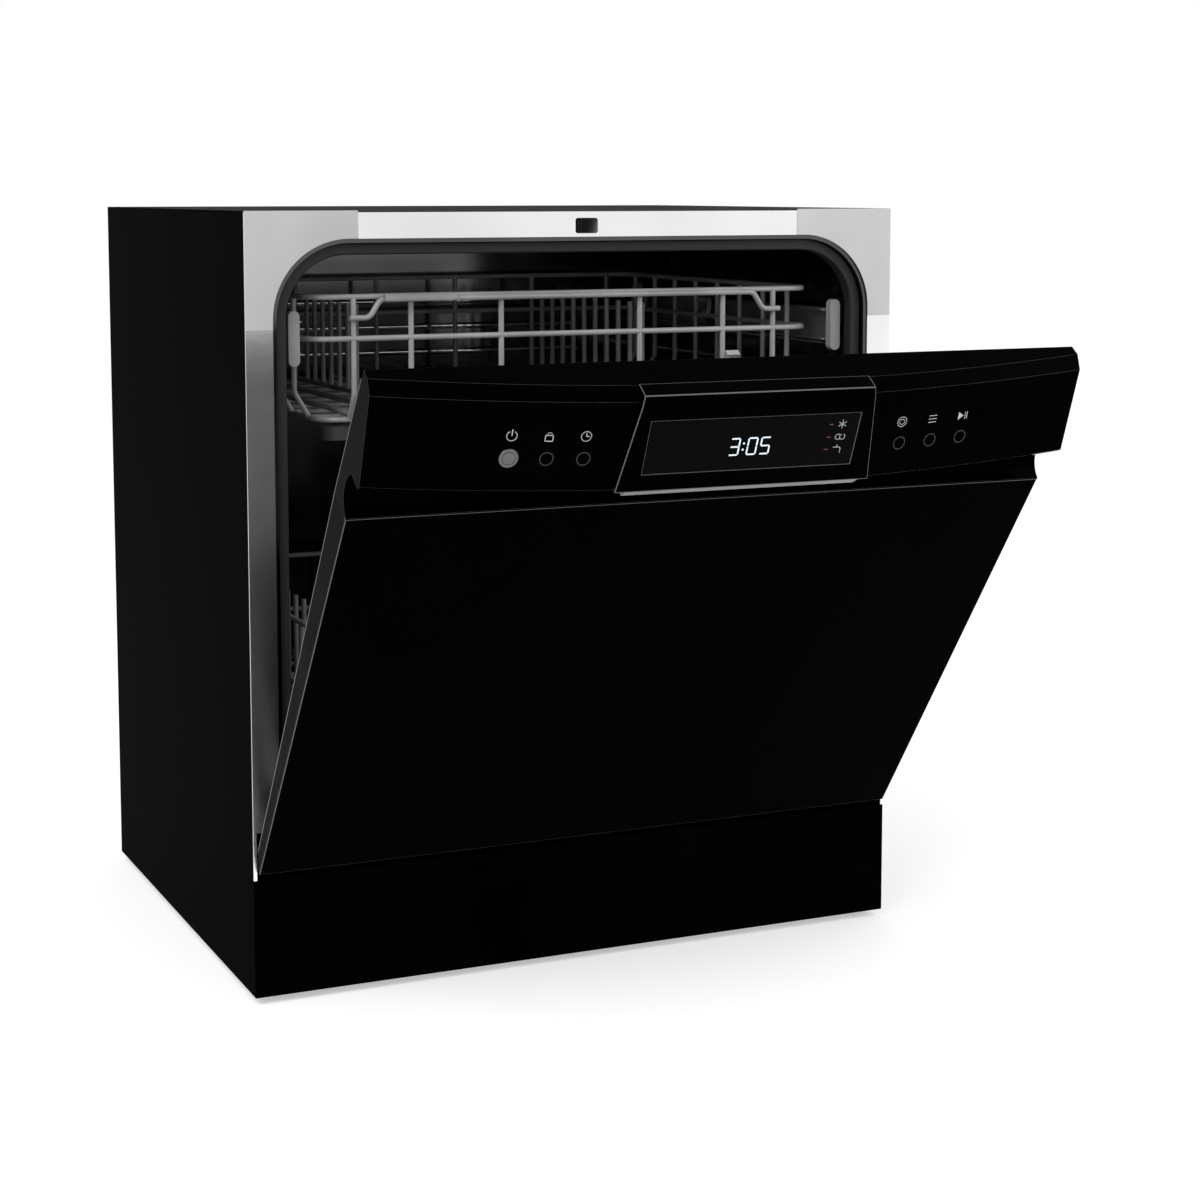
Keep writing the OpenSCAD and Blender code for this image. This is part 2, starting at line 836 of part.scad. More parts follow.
module softener() {
    half = 48; // of the tank's width
    stand_h = 8;
    neck_h = 8;
    tank_low = low_z + pan_t + stand_h;
    tank_top = basin_low_z - tub_t - neck_h;
    color("#d8d9d6")
    difference() {
        union() {
            box([salt_x - half, salt_y - 52, tank_low], [salt_x + half, salt_y + 60, tank_top]);
            translate([salt_x, salt_y, tank_top - past])
                cylinder(h = neck_h + past + tub_t + 1.5, r = salt_r - 3 - gap);
            for (side = [-1, 1])
                translate([salt_x + side * 40, salt_y - side * 20, low_z + pan_t])
                    cylinder(h = stand_h + past, r = 6);
        }
        translate([salt_x, salt_y, tank_low + 6])
            cylinder(h = basin_low_z - tank_low, r = salt_bore_r);
    }
}

module salt_cap() {
    color("#2e4050")
    translate([salt_x, salt_y, 0]) {
        translate([0, 0, basin_low_z - 8])
            cylinder(h = 10, r = salt_bore_r - fit);
        difference() {
            translate([0, 0, basin_low_z + 1.5 + gap])
                cylinder(h = 4.5, r = salt_r);
            box([-salt_r + 6, 3, basin_low_z + 3.5], [salt_r - 6, salt_r, basin_low_z + 10]);
            box([-salt_r + 6, -salt_r, basin_low_z + 3.5], [salt_r - 6, -3, basin_low_z + 10]);
        }
    }
}

module wash_pump() {
    x = sump_r + port_l;
    neck_l = 18;
    volute_r = 29;
    volute_end = x + neck_l + 26;
    motor_r = 25;
    motor_end = volute_end + 66;
    stand_half = 18;
    color("#26282b") {
        rod_x(x, x + neck_l + 2, sump_y, wash_z, wash_port_r - 2);
        rod_x(x + neck_l, volute_end, sump_y, wash_z, volute_r);
        rod_x(volute_end - 2, motor_end, sump_y, wash_z, motor_r);
        box([motor_end - 55, sump_y - stand_half, low_z + pan_t],
            [motor_end - 15, sump_y + stand_half, wash_z - 15]);
        rod_y(sump_y, feed_y - feed_elbow, outlet_x, wash_z, outlet_r);
    }
}

module drain_pump() {
    x = -sump_r - port_l;
    housing_r = 20;
    housing_l = 56;
    neck_l = 10;
    stand_half = 12;
    color("#34363a") {
        rod_x(x - neck_l - housing_l / 2, x, drain_pump_y, drain_pump_z, drain_port_r - 2);
        rod_x(x - neck_l - housing_l, x - neck_l, drain_pump_y, drain_pump_z, housing_r);
        box([x - neck_l - 46, drain_pump_y - stand_half, low_z + pan_t],
            [x - neck_l - 16, drain_pump_y + stand_half, drain_pump_z - neck_l]);
    }
}

module inlet_valve() {
    color("#e4e5e2")
    difference() {
        union() {
            rod_y(rear_y, rear_y + spout_l, inlet_x, inlet_z, inlet_r);
            rod_y(rear_y - 34, rear_y + past, inlet_x, inlet_z, inlet_r - 1);
            box([inlet_x - 20, rear_y - 62, inlet_z - 22],
                [inlet_x + 20, rear_y - 2 * sheet_t - pan_t, inlet_z + 30]);
            rod_y(rear_y - 100, rear_y - 60, inlet_x, inlet_z, 9);
            box([inlet_x - 12, rear_y - 56, low_z + pan_t], [inlet_x + 12, rear_y - 30, inlet_z]);
        }
        rod_y(rear_y - 10, rear_y + spout_l + past, inlet_x, inlet_z, inlet_r - 4);
    }
}

module power_gland() {
    color("#17181a")
    difference() {
        union() {
            rod_y(rear_y - 14, rear_y + 9, gland_x, gland_z, gland_r - fit);
            rod_y(rear_y, rear_y + 9, gland_x, gland_z, gland_r + 4);
            rod_y(rear_y - 14, rear_y - 2 * sheet_t - pan_t, gland_x, gland_z, gland_r + 3);
        }
        rod_y(rear_y - 20, rear_y + 20, gland_x, gland_z, 4);
    }
}

module feed_pipe() {
    dock_r = 13;
    dock_back = feed_y + feed_r + 0.5;
    color("#2f3134")
    difference() {
        union() {
            translate([0, feed_y, wash_z - 12])
                cylinder(h = tube_z - wash_z + 12, r = feed_r);
            rod_y(rack_back + wire_d / 2 + 2, dock_back, 0, tube_z, dock_r);
            rod_x(0, outlet_x + outlet_r + 1, feed_y, wash_z, outlet_r + 1);
            rod_y(feed_y - feed_elbow, feed_y, outlet_x, wash_z, outlet_r);
        }
        rod_y(rack_back, feed_y + feed_r - 4, 0, tube_z, tube_r + gap);
    }
}

// A spray arm with its hub at the origin of X and Y, drawn flat
module spray_blade(half, width, tip) {
    circle(width / 2);
    for (side = [-1, 1]) {
        translate([side * (half - tip), 0])
            circle(tip);
        polygon([
            [0, -width / 2], [side * (half - tip), -tip], [side * (half - tip), tip], [0, width / 2]
        ]);
    }
}

module lower_spray_arm() {
    hub = riser_r + 5;
    color("#6d6f72")
    translate([0, riser_y, 0])
        difference() {
            union() {
                translate([0, 0, arm_low])
                    linear_extrude(arm_h)
                        spray_blade(lower_arm_r, 44, 12);
                translate([0, 0, basin_low_z + 1.5 + 2])
                    cylinder(h = arm_low + arm_h + 5 - basin_low_z - 3.5, r = hub);
            }
            cylinder(h = riser_top + gap, r = riser_r + fit);
        }
}

module upper_spray_arm() {
    color("#6d6f72")
    translate([0, hub_y, arm_mid_z])
        difference() {
            union() {
                translate([0, 0, -6])
                    linear_extrude(12)
                        spray_blade(upper_arm_r, 36, 10);
                translate([0, 0, -9])
                    cylinder(h = 17, r = hub_r + 5);
            }
            translate([0, 0, -5])
                cylinder(h = 40, r = hub_r + fit);
        }
}

module upper_arm_feed() {
    color("#2f3134")
    difference() {
        union() {
            rod_y(hub_y, rack_back + wire_d + 14, 0, tube_z, tube_r);
            translate([0, hub_y, arm_mid_z - 5 + gap])
                cylinder(h = tube_z - arm_mid_z + 5 - gap, r = hub_r);
            translate([0, hub_y, tube_z])
                sphere(tube_r + 1.5);
        }
        rod_y(hub_y, rack_back + wire_d + 20, 0, tube_z, tube_r - 2);
        translate([0, hub_y, arm_mid_z - 10])
            cylinder(h = tube_z - arm_mid_z + 10, r = hub_r - 2);
    }
}

// ---- rails and rollers ----

// The rail's channels: one open to the wall and one open to the rack
module rail_profile() {
    for (side = [-1, 1])
        translate([rail_web_x - rail_t / 2 - rail_lip, side * (rail_half_h - rail_t / 2) - rail_t / 2])
            square([2 * rail_lip + rail_t, rail_t]);
    translate([rail_web_x - rail_t / 2, -rail_half_h])
        square([rail_t, 2 * rail_half_h]);
}

module upper_rails() {
    color("#8e9092")
    both_sides()
        translate([0, 0, rail_z])
            deep(rail_front, rail_back)
                rail_profile();
}

module rail_caps() {
    color("#9c9d9f")
    both_sides()
        for (y = [rail_front - cap_l, rail_back])
            deep(y, y + cap_l)
                translate([rail_web_x, 0])
                    outline(cap_w, rail_z - cap_h / 2, rail_z + cap_h / 2, cap_r, cap_r);
}

// A pair of rollers on one axis, left and right
module roller_pair(y, z, x, thick, r, bore_r) {
    both_sides()
        difference() {
            rod_x(x, x + thick, y, z, r);
            rod_x(x - past, x + thick + past, y, z, bore_r + fit);
        }
}

module front_tub_rollers() {
    color("#4a4b4d")
        roller_pair(tub_roller_ys[0], rail_z, tub_roller_x, roller_t, roller_r, roller_pin_d / 2);
}

module rear_tub_rollers() {
    color("#4a4b4d")
        roller_pair(tub_roller_ys[1], rail_z, tub_roller_x, roller_t, roller_r, roller_pin_d / 2);
}

module upper_front_wheels() {
    color("#4a4b4d")
        roller_pair(upper_wheel_ys[0], rail_z, rack_roller_x, roller_t, roller_r, roller_pin_d / 2);
}

module upper_rear_wheels() {
    color("#4a4b4d")
        roller_pair(upper_wheel_ys[1], rail_z, rack_roller_x, roller_t, roller_r, roller_pin_d / 2);
}

module lower_front_wheels() {
    color("#4a4b4d")
        roller_pair(wheel_ys[0], wheel_z, wheel_x, wheel_t, wheel_r, roller_pin_d / 2);
}

module lower_rear_wheels() {
    color("#4a4b4d")
        roller_pair(wheel_ys[1], wheel_z, wheel_x, wheel_t, wheel_r, roller_pin_d / 2);
}

// ---- racks ----

// Evenly spaced places from a to b, with a step of about pitch
function spread(a, b, pitch) =
    let (n = max(1, round((b - a) / pitch)))
    [for (i = [0 : n]) a + (b - a) * i / n];

// The upper rack's three rings, within clip's outline
module upper_rims(clip) {
    rim(upper_half, rack_front, rack_back, upper_top_z + 2, corner_r, clip);
    rim(upper_half, rack_front, rack_back, upper_mid_z, corner_r, clip);
    rim(upper_half - foot_in, rack_front + foot_in, rack_back, upper_z, corner_r / 2, clip);
}

// A side wall of the upper rack, with the brackets and pins of its wheels
module upper_side(side, clip) {
    upper_rims(clip);
    for (y = spread(rack_front + 40, rack_back - corner_r, 44))
        bent_wire([
            [side * upper_half, y, upper_top_z + 2], [side * upper_half, y, upper_z + foot_up],
            [side * (upper_half - foot_in), y, upper_z]
        ]);
    mirror([side < 0 ? 1 : 0, 0, 0])
        for (y = upper_wheel_ys) {
            box([upper_half - 1, y - 16, upper_mid_z - 1], [upper_half + 2.6, y + 16, rail_z + 14]);
            rod_x(upper_half, rack_roller_x + roller_t - 0.4, y, rail_z, roller_pin_d / 2);
        }
}

// The upper rack's front wall, with its handle wire
module upper_front(clip) {
    upper_rims(clip);
    low = upper_top_z - handle_dip;
    translate([0, handle_y, 0])
        bent_wire([
            [upright_xs[0] - 4, 0, low], [-handle_half - 9, 0, low], [-handle_half, 0, upper_top_z],
            [handle_half, 0, upper_top_z], [handle_half + 9, 0, low], [upright_xs[5] + 4, 0, low]
        ]);
    for (x = upright_xs)
        bent_wire([
            [x, rack_front, abs(x) > handle_half ? upper_top_z + 2 : upper_top_z],
            [x, rack_front, upper_z + foot_up], [x, rack_front + foot_in, upper_z]
        ]);
}

module upper_back(clip) {
    half = upper_half - foot_in - 10;
    upper_rims(clip);
    for (x = spread(-half, half, 75))
        wire([x, rack_back, upper_z], [x, rack_back, upper_top_z + 2]);
}

module upper_basket() {
    clips = wall_clips(upper_half - foot_in - wire_d / 2 - 0.25);
    color("#9a9b9d") {
        upper_side(-1, clips[0]);
        upper_side(1, clips[1]);
        upper_front(clips[2]);
        upper_back(clips[3]);
    }
}

// A grid of wires with rows of tines
module rack_floor(half, y0, y1, z, tine_rows, tine_h) {
    bite = 0.2; // of the crossing wires into each other
    for (y = spread(y0 + 30, y1 - 30, 46))
        wire([-half + wire_d / 2, y, z + bite], [half - wire_d / 2, y, z + bite]);
    for (x = spread(-half + 24, half - 24, 34))
        wire([x, y0 + wire_d / 2, z + wire_d], [x, y1 - wire_d / 2, z + wire_d]);
    for (row = tine_rows)
        for (y = spread(row[1], row[2], 24))
            wire([row[0], y, z + 1.5 * wire_d + hair], [row[0], y, z + tine_h]);
}

module upper_basket_floor() {
    half = upper_half - foot_in;
    xs = spread(-half + 24, half - 24, 34);
    color("#9a9b9d")
        rack_floor(half, rack_front + foot_in, rack_back, upper_z,
            [[xs[2], 0, 140], [xs[len(xs) - 3], -80, 140]], 82);
}

module handle_sleeve() {
    inner = wire_d / 2 / cos(22.5) + 0.15;
    color("#8a8b8d")
    difference() {
        rod_x(-handle_half + 2, sleeve_end, handle_y, upper_top_z, inner + 2.2);
        rod_x(-handle_half, sleeve_end + past, handle_y, upper_top_z, inner);
        box([-handle_half, handle_y - 12, upper_top_z - 12],
            [sleeve_end + past, handle_y + 12, upper_top_z - inner / 2]);
        box([-handle_half, rack_front - wire_d / 2 - gap, upper_top_z - 12],
            [sleeve_end + past, handle_y + 12, upper_top_z + 12]);
    }
}

// The lower rack's three rings, within clip's outline
module lower_rims(clip) {
    for (z = [lower_z + 45, lower_top_z])
        rim(lower_half, rack_front, rack_back, z, corner_r, clip);
    rim(lower_half, rack_front + foot_in, rack_back, lower_z, corner_r, clip);
}

// A side wall of the lower rack, with the pins of its wheels
module lower_side(side, clip) {
    lower_rims(clip);
    for (y = spread(rack_front + 30, rack_back - 18, 46))
        wire([side * lower_half, y, lower_z], [side * lower_half, y, lower_top_z]);
    mirror([side < 0 ? 1 : 0, 0, 0])
        for (y = wheel_ys) {
            wire([lower_half, y - 12, lower_z], [lower_half, y, wheel_z]);
            wire([lower_half, y + 12, lower_z], [lower_half, y, wheel_z]);
            rod_x(lower_half, wheel_x + wheel_t + 2, y, wheel_z, roller_pin_d / 2);
            rod_x(lower_half, wheel_x - gap, y, wheel_z, roller_pin_d / 2 + 2);
        }
}

// The lower rack's front or back wall
module lower_end(front, clip) {
    lower_rims(clip);
    for (x = spread(-lower_half + 24, lower_half - 24, 52))
        if (front)
            bent_wire([
                [x, rack_front, lower_top_z], [x, rack_front, lower_z + 24],
                [x, rack_front + foot_in, lower_z]
            ]);
        else
            wire([x, rack_back, lower_z], [x, rack_back, lower_top_z]);
}

module lower_basket() {
    clips = wall_clips(lower_half - 14);
    color("#9a9b9d") {
        lower_side(-1, clips[0]);
        lower_side(1, clips[1]);
        lower_end(true, clips[2]);
        lower_end(false, clips[3]);
    }
}

module lower_basket_floor() {
    half = lower_half;
    xs = spread(-half + 24, half - 24, 34);
    color("#9a9b9d")
        rack_floor(half, rack_front + foot_in, rack_back, lower_z,
            [[xs[1], -120, 140], [xs[4], -120, 140], [xs[7], 20, 140]], 78);
}

module cutlery_basket() {
    wall = 2;
    cells = [2, 4];
    cell = [for (i = [0, 1]) (cutlery[i] - wall) / cells[i] - wall];
    color("#77787b")
    translate(cutlery_at)
        difference() {
            cube(cutlery);
            for (i = [0 : cells.x - 1])
                for (j = [0 : cells.y - 1])
                    translate([wall + i * (cell.x + wall), wall + j * (cell.y + wall), wall])
                        cube([cell.x, cell.y, cutlery.z]);
        }
}

// ---- door ----

// The door's profile behind the panel, from its lower edge up to the height top
function slope_y(z) = door_y + door_low_t + (door_out - door_gap - door_low_t) * (z - door_low_z) / panel_h;

module wedge(low, top, inset) {
    polygon([
        [door_y + panel_t, low], [slope_y(low) - inset, low],
        [slope_y(top) - inset, top], [door_y + panel_t, top]
    ]);
}

module door_panel() {
    color("#060607")
    on_door()
        box([-door_half, door_y, door_low_z], [door_half, door_y + panel_t, panel_top_z]);
}

module door_frame() {
    color("#1b1b1d")
    on_door()
        difference() {
            wide(-door_half, door_half)
                wedge(door_low_z, panel_top_z, liner_t);
            wide(-door_half + strip_t, door_half - strip_t)
                wedge(door_low_z + 2, panel_top_z - 2, -2);
        }
}

module door_liner() {
    color("#a3a5a7")
    on_door()
        difference() {
            union() {
                wide(-door_half, door_half)
                    polygon([
                        [slope_y(door_low_z) - liner_t, door_low_z], [slope_y(door_low_z), door_low_z],
                        [door_back, panel_top_z], [door_back, fascia_top_z - 8],
                        [door_back - liner_t, fascia_top_z - 8], [door_back - liner_t, panel_top_z]
                    ]);
                difference() {
                    deep(slope_y(plug_low_z) - liner_t, field_y)
                        plug_outline(0);
                    wide(-door_half, door_half)
                        polygon([
                            [door_y, door_low_z], [slope_y(door_low_z) - liner_t, door_low_z],
                            [door_back - liner_t, panel_top_z], [door_back - liner_t, fascia_top_z],
                            [door_y, fascia_top_z]
                        ]);
                }
            }
            deep(door_y, field_y - liner_t)
                plug_outline(liner_t);
            box([-dispenser_w / 2 + 4, field_y - 5, dispenser_z + 4],
                [dispenser_w / 2 - 4, field_y + past, dispenser_z + dispenser_h - 4]);
            both_sides()
                box([arm_x - 0.5, door_y + panel_t, arm_neck_z - gap],
                    [arm_x + arm_t + 0.5, field_y, arm_neck_z + arm_neck_h + 1.5]);
        }
}

// The raised field's outline
module plug_outline(inset) {
    outline(2 * (plug_half - inset), plug_low_z + inset, plug_top_z - inset, 20 - inset, plug_r - inset);
}

// The distance of the fascia's surface from the bow's axis, at out from the door panel's face
function bow_at(out) = bow_r - lip_out + out;

// The space inside the fascia's outer surface, bowed in plan and drawn in by inset
module fascia_space(inset) {
    translate([0, bow_y, 0])
        rotate([0, 0, 255])
            rotate_extrude(angle = 30, $fn = 1440)
                polygon([
                    [bow_at(-80), lip_z - lip_t + inset],
                    [bow_at(lip_out - 3) - inset, lip_z - lip_t + inset],
                    [bow_at(lip_out) - inset, lip_z + inset / 2],
                    [bow_at(lip_out - face_lean) - inset, face_top_z - inset / 2],
                    [bow_at(lip_out - face_lean - 9) - inset / 2, fascia_top_z - inset],
                    [bow_at(-80), fascia_top_z - inset]
                ]);
}

// Puts what is drawn about the Y axis, facing -Y, on the fascia's face at x and height z
module on_face(x, z) {
    out = lip_out - face_lean * (z - lip_z) / fascia_h;
    translate([0, bow_y, 0])
        rotate([0, 0, asin(x / bow_at(out))])
            translate([0, -bow_at(out), z])
                rotate([-face_angle, 0, 0])
                    children();
}

module control_fascia() {
    back = door_back - liner_t;
    color("#0f0f11")
    on_door()
        difference() {
            union() {
                intersection() {
                    difference() {
                        fascia_space(0);
                        intersection() {
                            fascia_space(fascia_t);
                            box([-door_half + strip_t, door_y - 60, lip_z - 60],
                                [door_half - strip_t, front_y, fascia_top_z + 20]);
                        }
                    }
                    box([-door_half, door_y - 60, panel_top_z], [door_half, back, fascia_top_z + 20]);
                }
                intersection() {
                    wide(-door_half, door_half)
                        difference() {
                            translate([door_y - recess_mid, recess_mid_z])
                                circle(recess_r + fascia_t);
                            translate([door_y - recess_mid, recess_mid_z])
                                circle(recess_r);
                        }
                    box([-door_half, door_y, panel_top_z], [door_half, back, lip_z - lip_t + 1]);
                }
                both_sides()
                    difference() {
                        box([door_half - strip_t, door_y, panel_top_z], [door_half, back, lip_z - lip_t + 1]);
                        rod_x(0, body_w, door_y - recess_mid, recess_mid_z, recess_r);
                    }
                for (x = [-1, 1])
                    for (z = [lip_z + 12, lip_z + 50])
                        intersection() {
                            rod_y(door_y - lip_out, door_y - board_out, x * 106, z, 3);
                            fascia_space(fascia_t / 2);
                        }
            }
            for (i = [0 : 5])
                on_face(button_xs[i], button_z)
                    rod_y(-past * 4, fascia_t * 3, 0, 0, (i == 0 ? power_d : button_d) / 2 + gap);
            block_shape(0);
        }
}

// The display block's outer shape, drawn in by inset
module block_shape(inset) {
    back = door_y + 2 + inset;
    intersection() {
        wide(-block_foot, block_foot)
            polygon([
                [door_y - block_front + inset, lip_z + inset],
                [door_y - block_head + inset, face_top_z + 1 - inset],
                [door_y - block_head + 3 + inset, block_cap_z - inset], [back, block_cap_z - inset],
                [back, lip_z + inset]
            ]);
        deep(door_y - 60, front_y)
            polygon([
                [-block_foot + inset, lip_z], [-block_top + inset, block_cap_z],
                [block_top - inset, block_cap_z], [block_foot - inset, lip_z]
            ]);
    }
}

module display_block() {
    color("#131315")
    on_door()
        difference() {
            block_shape(0);
            block_shape(block_wall);
            window_place()
                box([-window_w / 2, -1, -window_h / 2], [window_w / 2, window_t, window_h / 2]);
            window_place()
                box([-window_w / 2 + 8, 0, -window_h / 2 + 6], [window_w / 2 - 8, 8, window_h / 2 - 6]);
        }
}

// Puts what is drawn about the Y axis on the display block's face
module window_place() {
    lean = atan((block_front - block_head) / (face_top_z + 1 - lip_z));
    translate([0, door_y - (block_front + block_head) / 2, (lip_z + face_top_z + 1) / 2 + 1])
        rotate([-lean, 0, 0])
            children();
}

module display_window() {
    slack = 0.1;
    color("#050508")
    on_door()
        window_place()
            box([-window_w / 2 + slack, 0, -window_h / 2 + slack],
                [window_w / 2 - slack, window_t, window_h / 2 - slack]);
}

module silver_strip() {
    color("#8c8e90")
    on_door()
        difference() {
            wide(-block_foot + 8, block_foot - 8)
                polygon([
                    [door_y - lip_out - 1, lip_z], [door_y - lip_out + 3, lip_z - lip_t - silver_h],
                    [door_y - 6, lip_z - lip_t - silver_h], [door_y - 6, lip_z]
                ]);
            fascia_space(0);
        }
}

module display_board() {
    color("#1f5a34")
    on_door() {
        box([-195, door_y - board_out, lip_z + 6], [195, door_y - board_out + board_t, lip_z + 58]);
        box([-window_w / 2 + 14, door_y - board_out - 5, lip_z + 20],
            [window_w / 2 - 14, door_y - board_out, lip_z + 46]);
        for (x = button_xs)
            box([x - 4, door_y - board_out - 3, button_z - 6], [x + 4, door_y - board_out, button_z + 2]);
    }
}

// A push button: its cap stands proud of the face and its skirt lies behind the wall
module button(x, d) {
    proud = 0.9;
    back = 8;
    skirt = fascia_t + gap;
    skirt_t = 1.2;
    on_door()
        on_face(x, button_z) {
            rod_y(-proud, back, 0, 0, d / 2);
            rod_y(skirt, skirt + skirt_t, 0, 0, d / 2 + 1.6);
        }
}

module power_button() {
    color("#b9bbbd")
        button(button_xs[0], power_d);
}

module lock_button() {
    color("#101012")
        button(button_xs[1], button_d);
}

module timer_button() {
    color("#101012")
        button(button_xs[2], button_d);
}

module program_button() {
    color("#101012")
        button(button_xs[3], button_d);
}

module function_button() {
    color("#101012")
        button(button_xs[4], button_d);
}

module start_button() {
    color("#101012")
        button(button_xs[5], button_d);
}

module door_hook() {
    color("#a8aaac")
    on_door() {
        box([-14, door_back, slot_z - 7], [14, door_back + 1, fascia_top_z - 9]);
        wide(-5, 5)
            polygon([
                [door_back, slot_z - 2], [door_back + 14, slot_z - 2], [door_back + 14, slot_z + 3.5],
                [door_back + 9, slot_z + 3.5], [door_back + 9, slot_z + 1.5], [door_back, slot_z + 1.5]
            ]);
    }
}

// ---- dispenser ----

module dispenser_body() {
    flange_t = 2;
    wall = 2;
    lug = 5; // height of a lug that holds the lid's pin
    lug_t = 2.6;
    color("#88898c")
    on_door()
        difference() {
            union() {
                deep(field_y, field_y + flange_t)
                    outline(dispenser_w, dispenser_z, dispenser_z + dispenser_h, 6, 6);
                box([-dispenser_w / 2 + 5, field_y - cup_depth - wall, dispenser_z + 5],
                    [dispenser_w / 2 - 5, field_y + past, dispenser_z + dispenser_h - 5]);
                for (x = [cup_left - 5, cup_right + 2.4])
                    box([x, field_y, lid_axis_z - lug / 2],
                        [x + lug_t, lid_axis_y + lug / 2, lid_axis_z + lug / 2]);
            }
            box([cup_left + wall, field_y - cup_depth, dispenser_z + 12],
                [cup_right - wall, field_y + 10, dispenser_z + dispenser_h - 12]);
            rod_y(field_y - cup_depth, field_y + 10, neck_x, neck_z, neck_d / 2);
            rod_x(cup_left - 8, cup_right + 8, lid_axis_y, lid_axis_z, lid_pin_r + fit);
        }
}

module dispenser_lid() {
    color("#9b9c9f")
    on_door() {
        box([cup_left - 2, lid_y, lid_axis_z], [cup_right + 2, lid_y + lid_t, dispenser_z + dispenser_h - 8]);
        rod_x(cup_left - 4, cup_right + 4.6, lid_axis_y, lid_axis_z, lid_pin_r);
        box([(cup_left + cup_right) / 2 - 10, lid_y + lid_t, dispenser_z + dispenser_h - 16],
            [(cup_left + cup_right) / 2 + 10, lid_y + lid_t + 3, dispenser_z + dispenser_h - 12]);
    }
}

module rinse_cap() {
    color("#3c3d40")
    on_door() {
        rod_y(field_y - 8, field_y + 3, neck_x, neck_z, neck_d / 2 - fit);
        rod_y(field_y + 2 + gap, field_y + 6, neck_x, neck_z, neck_d / 2 + 4);
        box([neck_x - neck_d / 2, field_y + 6, neck_z - 2], [neck_x + neck_d / 2, field_y + 11, neck_z + 2]);
    }
}

side_panel_left();
side_panel_right();
top_cover();
rear_panel();
plinth();
base_pan();
feet();
front_frame();
corner_plates();
tub();
tub_gasket();
hinge_brackets();
door_springs();
latch_catch();
sump();
filter_plate();
wash_pump();
drain_pump();
softener();
inlet_valve();
power_gland();
feed_pipe();
filter_cup();
salt_cap();
lower_spray_arm();
front_tub_rollers();
rear_tub_rollers();
upper_rails();
rail_caps();
upper_basket();
upper_basket_floor();
handle_sleeve();
upper_arm_feed();
upper_front_wheels();
upper_rear_wheels();
upper_spray_arm();
lower_basket();
lower_basket_floor();
lower_front_wheels();
lower_rear_wheels();
cutlery_basket();
door_panel();
door_frame();
door_liner();
control_fascia();
display_block();
display_window();
silver_strip();
hinge_arms();
display_board();
dispenser_body();
power_button();
lock_button();
timer_button();
program_button();
function_button();
start_button();
dispenser_lid();
rinse_cap();
door_hook();
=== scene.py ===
"""The looks of a countertop dishwasher with its door ajar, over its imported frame."""

import json
import math

import bmesh
import bpy
from bpy.props import FloatProperty, FloatVectorProperty, IntProperty, PointerProperty
from mathutils import Matrix, Vector


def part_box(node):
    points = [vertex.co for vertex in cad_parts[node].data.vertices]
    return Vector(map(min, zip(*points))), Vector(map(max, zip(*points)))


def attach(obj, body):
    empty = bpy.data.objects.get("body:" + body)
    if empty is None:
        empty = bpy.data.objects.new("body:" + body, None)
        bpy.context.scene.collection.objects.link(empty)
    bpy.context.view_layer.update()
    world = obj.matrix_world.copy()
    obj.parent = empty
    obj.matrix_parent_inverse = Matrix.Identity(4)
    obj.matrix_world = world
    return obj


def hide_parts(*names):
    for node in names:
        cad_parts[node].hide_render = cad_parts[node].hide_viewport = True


bl_info = {
    "name": "Countertop dishwasher",
    "version": (1, 0, 0),
    "blender": (4, 5, 0),
    "location": "3D View > Sidebar > Dishwasher",
    "description": "Dresses the frame of a countertop dishwasher",
    "category": "Object",
}

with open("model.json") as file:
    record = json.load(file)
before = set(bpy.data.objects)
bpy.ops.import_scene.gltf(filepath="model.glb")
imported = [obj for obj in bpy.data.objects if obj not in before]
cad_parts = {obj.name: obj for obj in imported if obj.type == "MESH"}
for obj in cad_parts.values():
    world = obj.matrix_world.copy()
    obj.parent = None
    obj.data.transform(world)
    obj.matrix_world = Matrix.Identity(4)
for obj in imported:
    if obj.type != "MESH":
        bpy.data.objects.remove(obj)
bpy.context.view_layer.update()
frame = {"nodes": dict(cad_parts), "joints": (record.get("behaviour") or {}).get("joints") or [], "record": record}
MM = 0.001
JOINTS = {joint["name"]: joint for joint in frame["joints"]}
AJAR = -math.radians(JOINTS["door_hinge"]["range_deg"][0])
DOOR_TURN = Matrix.Rotation(AJAR, 3, "X")

# Edges that turn by more than this stay sharp.
SHARP = math.radians(32)


# ---- shader maths -------------------------------------------------------------


class Signal:
    """A shader socket that takes part in Python expressions."""

    def __init__(self, graph, socket):
        self.graph = graph
        self.socket = socket

    def maths(self, operation, first, second):
        return self.graph.node("ShaderNodeMath", {"operation": operation}, first, second)

    def __add__(self, other):
        return self.maths("ADD", self, other)

    __radd__ = __add__

    def __sub__(self, other):
        return self.maths("SUBTRACT", self, other)

    def __rsub__(self, other):
        return self.maths("SUBTRACT", other, self)

    def __mul__(self, other):
        return self.maths("MULTIPLY", self, other)

    __rmul__ = __mul__

    def __gt__(self, other):
        return self.maths("GREATER_THAN", self, other)

    def larger(self, other):
        return self.maths("MAXIMUM", self, other)


